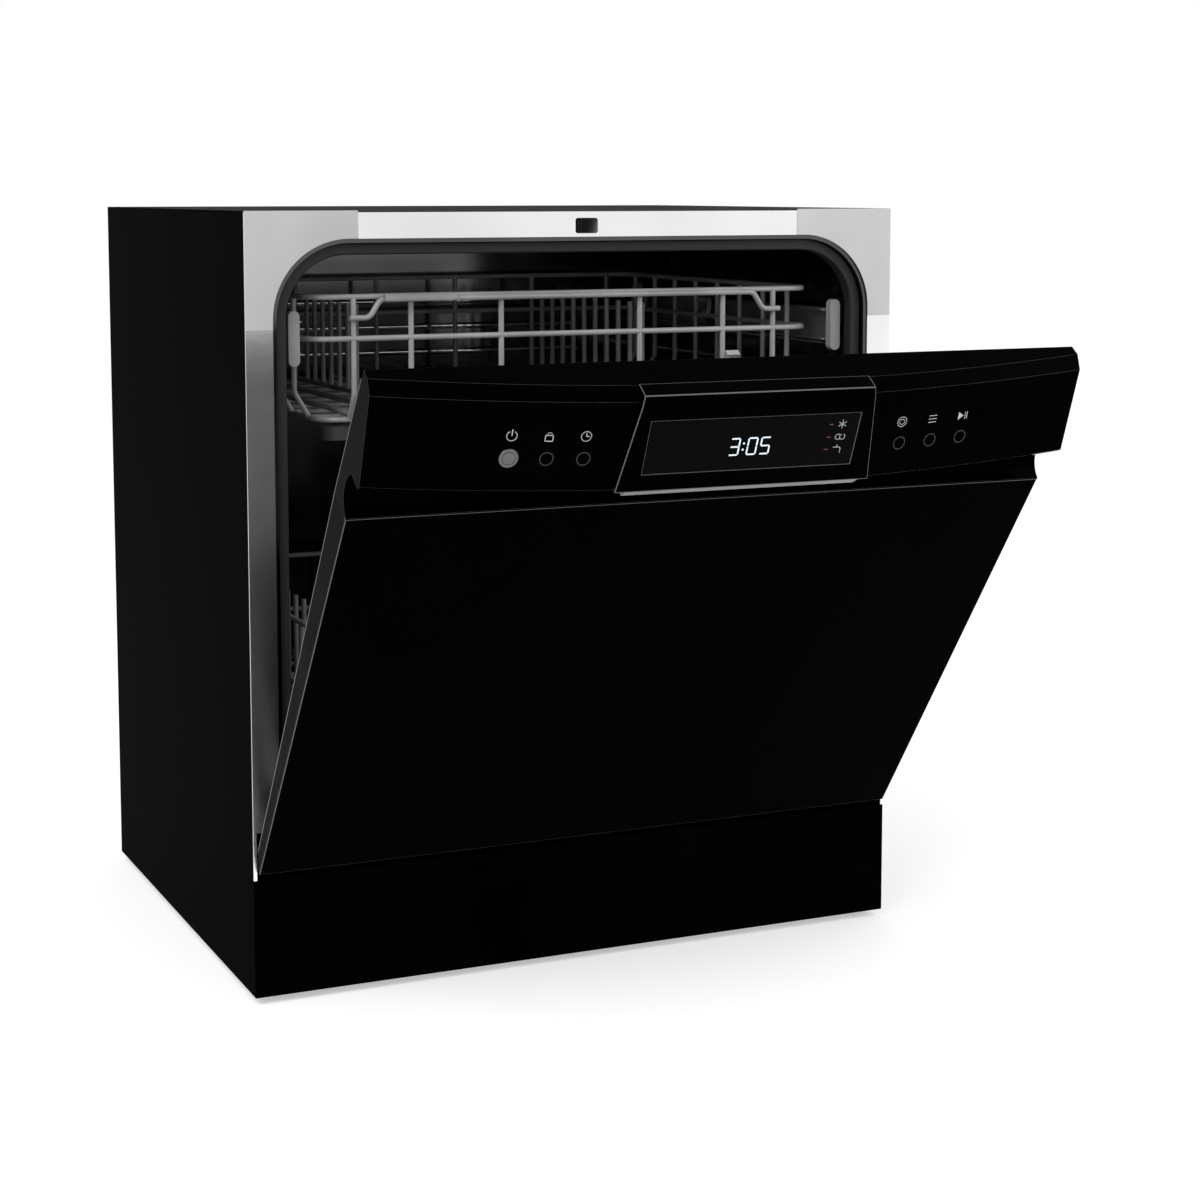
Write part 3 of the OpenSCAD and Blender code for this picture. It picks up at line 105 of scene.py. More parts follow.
class Graph:
    """A tree of shader nodes that is filled through Python expressions."""

    def __init__(self, tree):
        self.tree = tree

    def put(self, socket, value):
        """Links a signal to a socket, or sets the socket to a plain value."""
        if isinstance(value, Signal):
            self.tree.links.new(value.socket, socket)
        else:
            socket.default_value = value

    def node(self, kind, settings, *values, output=0, **named):
        """A new node with its settings first, then its sockets, in order or by name."""
        fresh = self.tree.nodes.new(kind)
        for key, value in settings.items():
            if key == "stops":
                self.ramp(fresh, value)
            else:
                setattr(fresh, key, value)
        for socket, value in zip(fresh.inputs, values):
            self.put(socket, value)
        for key, value in named.items():
            self.put(fresh.inputs[key.replace("_", " ")], value)
        return Signal(self, fresh.outputs[output])

    def ramp(self, fresh, stops):
        elements = fresh.color_ramp.elements
        while len(elements) < len(stops):
            elements.new(0.5)
        for element, (position, colour) in zip(elements, stops):
            element.position = position
            element.color = colour

    def seen(self):
        """1 for a ray from the camera, a mirror or glass, and 0 for light on the object."""
        camera, glossy, clear = (
            self.node("ShaderNodeLightPath", {}, output=ray)
            for ray in ("Is Camera Ray", "Is Glossy Ray", "Is Transmission Ray")
        )
        return camera.larger(glossy).larger(clear)


class Shader(Graph):
    """A material with its nodes."""

    def __init__(self, name):
        self.material = bpy.data.materials.new(name)
        self.material.use_nodes = True
        super().__init__(self.material.node_tree)
        self.surface = self.tree.nodes["Principled BSDF"]

    def place(self, scale=(1, 1, 1)):
        """Places on the object itself, stretched along its axes by scale."""
        at = self.node("ShaderNodeTexCoord", {}, output="Object")
        return self.node("ShaderNodeMapping", {}, Vector=at, Scale=scale)

    def noise(self, size, detail=4.0, scale=(1, 1, 1)):
        """Noise whose spots are about size metres wide."""
        return self.node(
            "ShaderNodeTexNoise", {}, Vector=self.place(scale), Scale=1 / size, Detail=detail
        )

    def between(self, factor, low, high):
        """A number that runs from low to high with a factor from 0 to 1."""
        return factor * (high - low) + low

    def tint(self, factor, first, second):
        """A colour that follows a noise, whose values lie mostly between 0.3 and 0.7."""
        stops = [(0.3, (*first, 1)), (0.7, (*second, 1))]
        return self.node("ShaderNodeValToRGB", {"stops": stops}, Fac=factor)

    def mix(self, factor, first, second):
        """A colour that runs from first to second with a factor from 0 to 1."""
        mixed = self.node("ShaderNodeMix", {"data_type": "RGBA"}, factor, output=2)
        colours = [socket for socket in mixed.socket.node.inputs if socket.type == "RGBA"]
        for socket, value in zip(colours, (first, second)):
            self.put(socket, value)
        return mixed

    def bump(self, height, distance, strength=0.3):
        """A normal that follows a height, whose full range is distance metres."""
        return self.node("ShaderNodeBump", {}, Height=height, Distance=distance, Strength=strength)

    def set(self, **values):
        """Sets sockets of the surface, with _ for a blank in their names."""
        for key, value in values.items():
            self.put(self.surface.inputs[key.replace("_", " ")], value)


def grey(level, warm=0.0):
    """A linear grey from an sRGB level of 0 to 255, with a trace of warmth."""
    linear = (level / 255) ** 2.2
    return (linear * (1 + warm), linear, linear * (1 - warm))


# ---- finishes -----------------------------------------------------------------


def painted_sheet(name, level):
    """Satin black powder coat: a fine orange peel with soft changes of gloss."""
    shader = Shader(name)
    broad = shader.noise(0.11, 3.0)
    peel = shader.noise(0.0012, 2.0)
    shader.set(
        Base_Color=shader.tint(broad, grey(level - 3), grey(level + 3)),
        Specular_IOR_Level=0.0006,
        Roughness=shader.between(broad, 0.34, 0.46),
        Normal=shader.bump(peel, 0.00012, 0.35),
    )
    return shader.material


# How much finer the grain of steel is across than along.
GRAIN_STRETCH = 26.0


def polished_steel(name, level, along, rough=(0.1, 0.22)):
    """Stainless sheet with a faint grain that runs along one axis."""
    shader = Shader(name)
    scale = [1.0 if axis == along else GRAIN_STRETCH for axis in "XYZ"]
    grain = shader.noise(0.02, 5.0, scale)
    cloud = shader.noise(0.16, 3.0)
    shader.set(
        Base_Color=shader.tint(cloud, grey(level - 8), grey(level + 6)),
        Metallic=1.0,
        Roughness=shader.between(grain * 0.7 + cloud * 0.3, *rough),
        Normal=shader.bump(grain, 0.00004, 0.25),
    )
    return shader.material


def frame_steel(name, level, seam_z):
    """Polished steel with a painted shade where it runs into the seam below the top cover."""
    shader = Shader(name)
    grain = shader.noise(0.02, 5.0, (1.0, GRAIN_STRETCH, GRAIN_STRETCH))
    cloud = shader.noise(0.16, 3.0)
    height = shader.node("ShaderNodeSeparateXYZ", {}, shader.place(), output=2)
    # Painted shade: above the seam's height the steel is drawn as a dark, non-metallic grey.
    seam = height > seam_z
    steel = shader.tint(cloud, grey(level - 8), grey(level + 6))
    shader.set(
        Base_Color=shader.mix(seam, steel, (*grey(18), 1)),
        Metallic=1.0 - seam,
        Roughness=shader.between(grain * 0.7 + cloud * 0.3, 0.16, 0.28),
        Normal=shader.bump(grain, 0.00004, 0.25),
    )
    return shader.material


def brushed_plate(name):
    """The matt grey of the plates on the frame's corners, with a fine upright brushing."""
    shader = Shader(name)
    grain = shader.noise(0.012, 4.0, (30, 30, 1))
    cloud = shader.noise(0.09, 2.0)
    shader.set(
        Base_Color=shader.tint(cloud, grey(176), grey(190)),
        Metallic=0.35,
        Roughness=shader.between(grain, 0.42, 0.55),
        Normal=shader.bump(grain, 0.00003, 0.2),
    )
    return shader.material


def gloss_black(name, level, rough, specular):
    """Piano black: very smooth, with faint wiped smudges."""
    shader = Shader(name)
    smudge = shader.noise(0.05, 6.0, (1, 1, 0.5))
    ripple = shader.noise(0.09, 1.0)
    shader.set(
        Base_Color=shader.tint(smudge, grey(level), grey(level + 3)),
        Roughness=shader.between(smudge, rough, rough + 0.07),
        Specular_IOR_Level=specular,
        Normal=shader.bump(ripple, 0.0002, 0.1),
    )
    return shader.material


def moulded_plastic(name, colour, grain_size=0.0009, rough=(0.42, 0.58), specular=0.25):
    """Moulded plastic with a spark-eroded grain."""
    shader = Shader(name)
    cloud = shader.noise(0.04, 3.0)
    grain = shader.noise(grain_size, 2.0)
    darker = tuple(0.86 * part for part in colour)
    lighter = tuple(min(1.0, 1.1 * part) for part in colour)
    shader.set(
        Base_Color=shader.tint(cloud, darker, lighter),
        Roughness=shader.between(cloud, *rough),
        Specular_IOR_Level=specular,
        Normal=shader.bump(grain, 0.0001, 0.3),
    )
    return shader.material


def soft_rubber(name):
    """Black rubber: dull, with patches of dust."""
    shader = Shader(name)
    dust = shader.noise(0.012, 6.0)
    pores = shader.noise(0.0006, 2.0)
    shader.set(
        Base_Color=shader.tint(dust, grey(11), grey(24)),
        Roughness=shader.between(dust, 0.62, 0.8),
        Normal=shader.bump(pores, 0.00008, 0.4),
    )
    return shader.material


def coated_wire(name):
    """Grey nylon over steel wire: smooth with slight lumps."""
    shader = Shader(name)
    lumps = shader.noise(0.006, 3.0)
    cloud = shader.noise(0.05, 2.0)
    shader.set(
        Base_Color=shader.tint(cloud, grey(136), grey(158)),
        Roughness=shader.between(lumps, 0.3, 0.45),
        Coat_Weight=0.15,
        Normal=shader.bump(lumps, 0.0002, 0.25),
    )
    return shader.material


def galvanised(name):
    """Zinc sheet with its spangle: flat crystals of slightly different grey."""
    shader = Shader(name)
    crystals = shader.node(
        "ShaderNodeTexVoronoi", {}, Vector=shader.place(), Scale=110.0, output="Color"
    )
    cloud = shader.noise(0.07, 4.0)
    shader.set(
        Base_Color=shader.tint(crystals * 0.5 + cloud * 0.5, grey(146), grey(164)),
        Metallic=0.9,
        Roughness=shader.between(crystals, 0.32, 0.5),
        Normal=shader.bump(cloud, 0.0001, 0.15),
    )
    return shader.material


def light_mark(name, colour, strength):
    """A figure or icon that glows by strength, or a printed one at strength 0."""
    shader = Shader(name)
    flicker = shader.noise(0.002, 1.0)
    dim = tuple(0.8 * part for part in colour)
    shader.set(
        Base_Color=shader.tint(flicker, dim, colour),
        Emission_Color=shader.tint(flicker, dim, colour),
        Emission_Strength=strength,
        Roughness=shader.between(flicker, 0.4, 0.5),
        Normal=shader.bump(flicker, 0.00002, 0.1),
    )
    return shader.material


def solder_board(name):
    """Green solder mask over its copper."""
    shader = Shader(name)
    tracks = shader.node("ShaderNodeTexBrick", {}, Vector=shader.place(), Scale=240.0, output="Fac")
    shader.set(
        Base_Color=shader.tint(tracks, (0.01, 0.1, 0.03), (0.02, 0.17, 0.05)),
        Roughness=shader.between(tracks, 0.3, 0.42),
        Normal=shader.bump(tracks, 0.00005, 0.2),
    )
    return shader.material


# The top cover shades the frame above this height.
SEAM_Z = 599.6 * MM

# The finish of each material slot, and last two painted highlights: a grey for the door's rounded edges, and a
# brighter copy of the tub's steel for the tub's ribs.
FINISHES = {
    "black_satin_steel": lambda n: painted_sheet(n, 9),
    "stainless_frame": lambda n: frame_steel(n, 232, SEAM_Z),
    "stainless_tub": lambda n: polished_steel(n, 84, "Y", (0.06, 0.16)),
    "zinc_steel": galvanised,
    "gloss_black_fascia": lambda n: gloss_black(n, 5, 0.1, 0.004),
    "gloss_black_panel": lambda n: gloss_black(n, 2, 0.09, 0.004),
    "black_plastic": lambda n: moulded_plastic(n, grey(12), specular=0.01),
    "dark_grey_plastic": lambda n: moulded_plastic(n, grey(58)),
    "grey_plastic": lambda n: moulded_plastic(n, grey(138)),
    "pale_plastic": lambda n: moulded_plastic(n, grey(214, 0.02)),
    "white_plastic": lambda n: moulded_plastic(n, grey(226)),
    "coated_wire": coated_wire,
    "black_rubber": soft_rubber,
    "silver_trim": lambda n: moulded_plastic(n, grey(150), 0.0005, (0.3, 0.4)),
    "silver_button": lambda n: polished_steel(n, 96, "X", (0.2, 0.3)),
    "smoked_window": lambda n: gloss_black(n, 2, 0.05, 0.03),
    "green_board": solder_board,
    # Painted highlight: a grey on the rounded edges of the door panel, the fascia and the display block, where
    # they catch the light.
    "worn_edge": lambda n: gloss_black(n, 84, 0.3, 0.3),
    # Painted highlight: a brighter copy of the tub's steel, so that the tub's ribs catch light.
    "bright_steel": lambda n: polished_steel(n, 235, "X", (0.03, 0.08)),
}
SLOTS = {part["node"]: part["material_slot"] for part in frame["record"]["subparts"]}
MATERIALS = {}
TREES = {}


def finish(slot):
    """The material of a slot, made once."""
    if slot not in MATERIALS:
        MATERIALS[slot] = FINISHES[slot](slot)
    return MATERIALS[slot]


# ---- making pieces --------------------------------------------------------------


def new_piece(name, mesh, slot, body, material=None, replaced=()):
    """Shows a mesh as a piece that rides on a body."""
    piece = bpy.data.objects.new(name, mesh)
    bpy.context.scene.collection.objects.link(piece)
    mesh.materials.clear()
    mesh.materials.append(material or finish(slot))
    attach(piece, body)
    if replaced:
        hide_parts(*replaced)
    return piece


def mesh_of(name, verts, faces, edges=(), turn=None):
    """A mesh with its doubles merged and its faces outwards."""
    mesh = bpy.data.meshes.new(name)
    mesh.from_pydata([tuple(v) for v in verts], list(edges), list(faces))
    if turn is not None:
        mesh.transform(turn)
    if faces:
        tidy(mesh)
    return mesh


def tidy(mesh):
    """Merges doubles and turns the faces outwards."""
    work = bmesh.new()
    work.from_mesh(mesh)
    bmesh.ops.remove_doubles(work, verts=work.verts, dist=1e-6)
    bmesh.ops.recalc_face_normals(work, faces=work.faces)
    work.to_mesh(mesh)
    work.free()
    smooth(mesh)


def smooth(mesh):
    """Shades a mesh smoothly, apart from its sharp edges."""
    mesh.polygons.foreach_set("use_smooth", [True] * len(mesh.polygons))
    mesh.set_sharp_from_angle(angle=SHARP)


def soft_edge_tree():
    """Joins a node's faces and keeps only its real edges sharp."""
    tree = bpy.data.node_groups.new("joined_faces", "GeometryNodeTree")
    ids = {
        "shape": group_input(tree, "Shape", "NodeSocketGeometry"),
        "limit": group_input(tree, "Sharp From", "NodeSocketFloat", SHARP),
    }
    tree.interface.new_socket("Joined", in_out="OUTPUT", socket_type="NodeSocketGeometry")
    nodes = tree.nodes
    given = nodes.new("NodeGroupInput")
    bare = nodes.new("GeometryNodeRemoveAttribute")
    bare.inputs["Name"].default_value = "custom_normal"
    weld = nodes.new("GeometryNodeMergeByDistance")
    weld.inputs["Distance"].default_value = 2e-6
    rounded = nodes.new("GeometryNodeSetShadeSmooth")
    rounded.domain = "FACE"
    angle = nodes.new("GeometryNodeInputMeshEdgeAngle")
    wide = nodes.new("FunctionNodeCompare")
    wide.operation = "GREATER_THAN"
    sharp = nodes.new("GeometryNodeSetShadeSmooth")
    sharp.domain = "EDGE"
    sharp.inputs["Shade Smooth"].default_value = False
    out = nodes.new("NodeGroupOutput")
    link = tree.links.new
    link(given.outputs["Shape"], bare.inputs["Geometry"])
    link(bare.outputs["Geometry"], weld.inputs["Geometry"])
    link(weld.outputs["Geometry"], rounded.inputs["Geometry"])
    link(angle.outputs["Unsigned Angle"], wide.inputs["A"])
    link(given.outputs["Sharp From"], wide.inputs["B"])
    link(rounded.outputs["Geometry"], sharp.inputs["Geometry"])
    link(wide.outputs["Result"], sharp.inputs["Selection"])
    link(sharp.outputs["Geometry"], out.inputs["Joined"])
    return tree, ids


def soften(node, width, segments=2, flat=True, material=None, edge=None):
    """Gives a CAD node its finish and rounds its edges by width.

    The faces of a flat node are joined into larger ones first. Edge names the finish of the rounded edges.
    """
    shown = frame["nodes"][node]
    shown.data.materials.clear()
    shown.data.materials.append(material or finish(SLOTS[node]))
    joined = shown.modifiers.new("joined_faces", "NODES")
    joined.node_group, ids = tree_of("joined_faces", soft_edge_tree)
    joined[ids["limit"]] = SHARP
    if flat:
        plain = shown.modifiers.new("plain_faces", "DECIMATE")
        plain.decimate_type = "DISSOLVE"
        plain.angle_limit = math.radians(0.3)
    if width:
        bevel = shown.modifiers.new("rounded_edges", "BEVEL")
        bevel.width = width
        bevel.segments = segments
        bevel.limit_method = "ANGLE"
        bevel.angle_limit = SHARP
        bevel.harden_normals = True
        if edge:
            shown.data.materials.append(finish(edge))
            bevel.material = 1


def soften_all(widths):
    """Softens nodes by widths in millimetres."""
    for node, width in widths.items():
        soften(node, width * MM)


def group_input(tree, name, kind, default=None):
    """The identifier of a new input of a tree."""
    socket = tree.interface.new_socket(name, in_out="INPUT", socket_type=kind)
    if default is not None:
        socket.default_value = default
    return socket.identifier


def round_wire_tree():
    """Turns lines into round wires with bent corners."""
    tree = bpy.data.node_groups.new("round_wires", "GeometryNodeTree")
    ids = {
        "lines": group_input(tree, "Lines", "NodeSocketGeometry"),
        "radius": group_input(tree, "Wire Radius", "NodeSocketFloat", 0.002),
        "bend": group_input(tree, "Bend Radius", "NodeSocketFloat", 0.01),
        "sides": group_input(tree, "Sides", "NodeSocketInt", 10),
        "steps": group_input(tree, "Bend Steps", "NodeSocketInt", 5),
        "material": group_input(tree, "Material", "NodeSocketMaterial"),
    }
    tree.interface.new_socket("Wires", in_out="OUTPUT", socket_type="NodeSocketGeometry")
    nodes = tree.nodes
    given = nodes.new("NodeGroupInput")
    curve = nodes.new("GeometryNodeMeshToCurve")
    fillet = nodes.new("GeometryNodeFilletCurve")
    fillet.mode = "POLY"
    ring = nodes.new("GeometryNodeCurvePrimitiveCircle")
    tube = nodes.new("GeometryNodeCurveToMesh")
    shade = nodes.new("GeometryNodeSetShadeSmooth")
    real = nodes.new("GeometryNodeRealizeInstances")
    paint = nodes.new("GeometryNodeSetMaterial")
    out = nodes.new("NodeGroupOutput")
    link = tree.links.new
    link(given.outputs["Lines"], curve.inputs["Mesh"])
    link(curve.outputs["Curve"], fillet.inputs["Curve"])
    link(given.outputs["Bend Radius"], fillet.inputs["Radius"])
    link(given.outputs["Bend Steps"], fillet.inputs["Count"])
    fillet.inputs["Limit Radius"].default_value = True
    link(given.outputs["Sides"], ring.inputs["Resolution"])
    link(given.outputs["Wire Radius"], ring.inputs["Radius"])
    link(fillet.outputs["Curve"], tube.inputs["Curve"])
    link(ring.outputs["Curve"], tube.inputs["Profile Curve"])
    tube.inputs["Fill Caps"].default_value = True
    link(tube.outputs["Mesh"], shade.inputs["Geometry"])
    link(shade.outputs["Geometry"], real.inputs["Geometry"])
    link(real.outputs["Geometry"], paint.inputs["Geometry"])
    link(given.outputs["Material"], paint.inputs["Material"])
    link(paint.outputs["Geometry"], out.inputs["Wires"])
    return tree, ids


def repeat_tree():
    """Puts a copy of one small piece on each point."""
    tree = bpy.data.node_groups.new("repeated_piece", "GeometryNodeTree")
    ids = {
        "points": group_input(tree, "Points", "NodeSocketGeometry"),
        "piece": group_input(tree, "Piece", "NodeSocketObject"),
        "turn": group_input(tree, "Turn", "NodeSocketRotation"),
        "material": group_input(tree, "Material", "NodeSocketMaterial"),
    }
    tree.interface.new_socket("Copies", in_out="OUTPUT", socket_type="NodeSocketGeometry")
    nodes = tree.nodes
    given = nodes.new("NodeGroupInput")
    info = nodes.new("GeometryNodeObjectInfo")
    put = nodes.new("GeometryNodeInstanceOnPoints")
    real = nodes.new("GeometryNodeRealizeInstances")
    paint = nodes.new("GeometryNodeSetMaterial")
    out = nodes.new("NodeGroupOutput")
    link = tree.links.new
    link(given.outputs["Points"], put.inputs["Points"])
    link(given.outputs["Piece"], info.inputs["Object"])
    link(info.outputs["Geometry"], put.inputs["Instance"])
    link(given.outputs["Turn"], put.inputs["Rotation"])
    link(put.outputs["Instances"], real.inputs["Geometry"])
    link(real.outputs["Geometry"], paint.inputs["Geometry"])
    link(given.outputs["Material"], paint.inputs["Material"])
    link(paint.outputs["Geometry"], out.inputs["Copies"])
    return tree, ids


def tree_of(kind, maker):
    """A tree of Geometry Nodes and the names of its inputs, made once."""
    if kind not in TREES:
        TREES[kind] = maker()
    return TREES[kind]


def grown_mesh(name, kind, maker, base, **values):
    """The mesh that a tree of Geometry Nodes grows from a base mesh."""
    tree, ids = tree_of(kind, maker)
    carrier = bpy.data.objects.new(name + "_lines", base)
    bpy.context.scene.collection.objects.link(carrier)
    modifier = carrier.modifiers.new(kind, "NODES")
    modifier.node_group = tree
    for key, value in values.items():
        modifier[ids[key]] = value
    bpy.context.view_layer.update()
    seen = carrier.evaluated_get(bpy.context.evaluated_depsgraph_get())
    mesh = bpy.data.meshes.new_from_object(seen)
    bpy.data.objects.remove(carrier)
    mesh.name = name
    return mesh


def lines_mesh(name, lines):
    """Lines, each a list of points, or a closed loop when its last point is its first."""
    verts = []
    edges = []
    for line in lines:
        first = len(verts)
        closed = (Vector(line[0]) - Vector(line[-1])).length < 1e-9
        points = line[:-1] if closed else line
        verts += points
        edges += [(first + i, first + i + 1) for i in range(len(points) - 1)]
        if closed:
            edges.append((first + len(points) - 1, first))
    return mesh_of(name, verts, [], edges)


def wires(name, lines, radius, bend, slot, body, sides=10, steps=5, replaced=(), material=None):
    """Round wires along lines, as one piece."""
    paint = material or finish(slot)
    base = lines_mesh(name, lines)
    mesh = grown_mesh(
        name, "round_wires", round_wire_tree, base,
        radius=radius, bend=bend, sides=sides, steps=steps, material=paint,
    )
    return new_piece(name, mesh, slot, body, paint, replaced)


def copies(name, points, turn, piece_mesh, slot, body):
    """A small mesh repeated at points, as one piece."""
    paint = finish(slot)
    pattern = bpy.data.objects.new(name + "_pattern", piece_mesh)
    bpy.context.scene.collection.objects.link(pattern)
    base = mesh_of(name, points, [])
    mesh = grown_mesh(
        name, "repeated_piece", repeat_tree, base, piece=pattern, turn=turn, material=paint
    )
    bpy.data.objects.remove(pattern)
    smooth(mesh)
    return new_piece(name, mesh, slot, body, paint)


def lathe(name, profile, count=32, turn=None):
    """A mesh turned about Z from a profile of radius and height."""
    verts = []
    faces = []
    for i in range(count):
        angle = 2 * math.pi * i / count
        verts += [(r * math.cos(angle), r * math.sin(angle), z) for r, z in profile]
    size = len(profile)
    for i in range(count):
        ahead = (i + 1) % count
        for k in range(size - 1):
            faces.append(
                (i * size + k, ahead * size + k, ahead * size + k + 1, i * size + k + 1)
            )
    return mesh_of(name, verts, faces, turn=turn)


def plates(outlines, depth, place):
    """Verts and faces of flat plates that stand out of a face by depth and sink in by a fifth of it.

    The outlines are in the X and Z of place, whose Y points into the face.
    """
    verts = []
    faces = []
    for outline in outlines:
        first = len(verts)
        size = len(outline)
        verts += [place @ Vector((x, -depth, z)) for x, z in outline]
        verts += [place @ Vector((x, depth * 0.2, z)) for x, z in outline]
        faces.append([first + i for i in range(size)])
        faces.append([first + size + i for i in reversed(range(size))])
        for i in range(size):
            ahead = (i + 1) % size
            faces.append((first + i, first + ahead, first + size + ahead, first + size + i))
    return verts, faces


def bar(x0, z0, x1, z1, thick):
    """A straight bar's outline between two points."""
    along = Vector((x1 - x0, z1 - z0)).normalized() * thick / 2
    side = Vector((-along.y, along.x))
    start = Vector((x0, z0)) - along
    end = Vector((x1, z1)) + along
    return [tuple(start + side), tuple(start - side), tuple(end - side), tuple(end + side)]


def bent_bar(points, thick):
    """Bars from each point to the next."""
    return [bar(*a, *b, thick) for a, b in zip(points, points[1:])]


def arc(x, z, radius, start, end, count=12):
    """Points on an arc, in degrees from +X."""
    step = (end - start) / count
    turns = [math.radians(start + step * i) for i in range(count + 1)]
    return [(x + radius * math.cos(t), z + radius * math.sin(t)) for t in turns]


def spread(low, high, pitch):
    """Places from low to high, evenly and about pitch apart."""
    count = max(1, round((high - low) / pitch))
    return [low + (high - low) * i / count for i in range(count + 1)]


# ---- places taken from the frame --------------------------------------------------


def inward(node):
    """The direction in which a button goes in."""
    return Vector(JOINTS[node + "_press"]["axis"]).normalized()


def face_matrix(normal, centre):
    """A place on the door's face: X to the right, Y inwards and Z up along the face."""
    up_door = DOOR_TURN @ Vector((0, 0, 1))
    right = normal.cross(up_door).normalized()
    up = right.cross(normal).normalized()
    turn = Matrix((right, normal, up)).transposed().to_4x4()
    return Matrix.Translation(centre) @ turn


def button_place(node):
    """The middle of a button's front."""
    axis = inward(node)
    points = [v.co for v in frame["nodes"][node].data.vertices]
    depth = min(p.dot(axis) for p in points)
    front = [p for p in points if p.dot(axis) < depth + 1e-5]
    centre = sum(front, Vector()) / len(front)
    return face_matrix(axis, centre)


def window_place():
    """The middle of the display window's front."""
    data = frame["nodes"]["display_window"].data
    facing = max(
        (p for p in data.polygons if p.normal.y < -0.5), key=lambda p: round(p.area, 9)
    )
    axis = -facing.normal
    depth = facing.center.dot(axis)
    front = [v.co for v in data.vertices if v.co.dot(axis) < depth + 1e-5]
    centre = sum(front, Vector()) / len(front)
    return face_matrix(axis, centre)


# ---- sizes that a user may change --------------------------------------------------


class RackSizes(bpy.types.PropertyGroup):
    """Sizes of the racks' wires."""

    wire: FloatProperty(
        name="Wire", description="Diameter of a wire", default=4.5 * MM, unit="LENGTH"
    )
    draw_in: FloatProperty(
        name="Draw in", description="How far the walls draw in at the floor", default=12 * MM,
        unit="LENGTH",
    )
    corner: FloatProperty(
        name="Corner", description="Bend of a rim at its corners", default=20 * MM, unit="LENGTH"
    )
    upper_mid: FloatProperty(
        name="Middle wire", description="Height above the upper floor", default=63 * MM, unit="LENGTH"
    )
    upper_top: FloatProperty(
        name="Handle wire", description="Height above the upper floor", default=93 * MM, unit="LENGTH"
    )
    handle_dip: FloatProperty(
        name="Handle dip", description="Drop at the handle wire's ends", default=14 * MM, unit="LENGTH"
    )
    tine: FloatProperty(
        name="Tine", description="Height of the plate tines", default=80 * MM, unit="LENGTH"
    )


class DisplaySizes(bpy.types.PropertyGroup):
    """Sizes and colours of the display and the buttons' marks."""

    digit_h: FloatProperty(
        name="Digit", description="Height of a digit", default=12.6 * MM, unit="LENGTH"
    )
    digit_w: FloatProperty(
        name="Digit width", description="Width of a digit", default=6.7 * MM, unit="LENGTH"
    )
    stroke: FloatProperty(
        name="Stroke", description="Width of a digit's bar", default=1.4 * MM, unit="LENGTH"
    )
    lit: FloatVectorProperty(
        name="Lit", description="Colour of the lit marks", subtype="COLOR", default=(0.62, 0.72, 0.8)
    )
    mark: FloatProperty(
        name="Mark", description="Size of a printed mark", default=8.4 * MM, unit="LENGTH"
    )


class CasingSizes(bpy.types.PropertyGroup):
    """Sizes of small things on the casing."""

    screw: FloatProperty(
        name="Screw", description="Diameter of a screw's head", default=8 * MM, unit="LENGTH"
    )
    rib: FloatProperty(
        name="Rib", description="Height of the tub's ribs", default=3 * MM, unit="LENGTH"
    )
    rib_count: IntProperty(name="Ribs", description="Ribs on the tub's side walls", default=3)
    lip: FloatProperty(
        name="Lip", description="Thickness of the gasket's lip", default=3.2 * MM, unit="LENGTH"
    )


class StageSizes(bpy.types.PropertyGroup):
    """The floor, the lamps and the camera."""

    floor: FloatVectorProperty(
        name="Floor", description="Colour of the floor", subtype="COLOR", default=(0.9, 0.9, 0.9)
    )
    glow: FloatProperty(
        name="Glow", description="Share of the floor's own white in what is seen", default=0.2
    )
    brightness: FloatProperty(
        name="Brightness", description="Strength of the floor's own white", default=2.25
    )
    reach: FloatProperty(
        name="Reach", description="Half the width of the floor", default=7.0, unit="LENGTH"
    )
    key: FloatProperty(name="Key", description="Power of the main lamp", default=52.0, unit="POWER")
    fill: FloatProperty(name="Fill", description="Power of the filling lamp", default=24.0, unit="POWER")
    lens: FloatProperty(name="Lens", description="Focal length in millimetres", default=71.22)
    shift: FloatProperty(name="Shift", description="Shift of the lens", default=-0.13)


GROUPS = {
    "rack_sizes": RackSizes,
    "display_sizes": DisplaySizes,
    "casing_sizes": CasingSizes,
    "stage_sizes": StageSizes,
}


class Make(bpy.types.Operator):
    """The base of the operators here."""

    bl_options = {"REGISTER", "UNDO"}

    def execute(self, context):
        self.make(context.scene)
        return {"FINISHED"}


# ---- casing ------------------------------------------------------------------------


def screw_mesh(diameter):
    """A pan head with a cross recess, facing +Z."""
    r = diameter / 2
    profile = [
        (0, 0), (r, 0), (r, 0.18 * r), (0.88 * r, 0.38 * r), (0.55 * r, 0.5 * r), (0.0, 0.52 * r),
    ]
    mesh = lathe("screw", profile, 20)
    slot = [bar(-0.5 * r, 0, 0.5 * r, 0, 0.16 * r), bar(0, -0.5 * r, 0, 0.5 * r, 0.16 * r)]
    place = Matrix.Translation((0, 0, 0.53 * r)) @ Matrix.Rotation(math.radians(-90), 4, "X")
    verts, faces = plates(slot, 0.02 * r, place)
    work = bmesh.new()
    work.from_mesh(mesh)
    made_verts = [work.verts.new(v) for v in verts]
    for face in faces:
        work.faces.new([made_verts[i] for i in face])
    work.to_mesh(mesh)
    work.free()
    return mesh


class DISH_OT_casing(Make):
    """Dresses the side panels, top, plinth, base, back and feet"""

    bl_idname = "dish.casing"
    bl_label = "Casing"

    def make(self, scene):
        soften_all({
            "side_panel_left": 0.5, "side_panel_right": 0.5, "top_cover": 0.5, "plinth": 0.5,
            "rear_panel": 0.3, "base_pan": 0.8, "feet": 1.2, "power_gland": 0.6,
        })


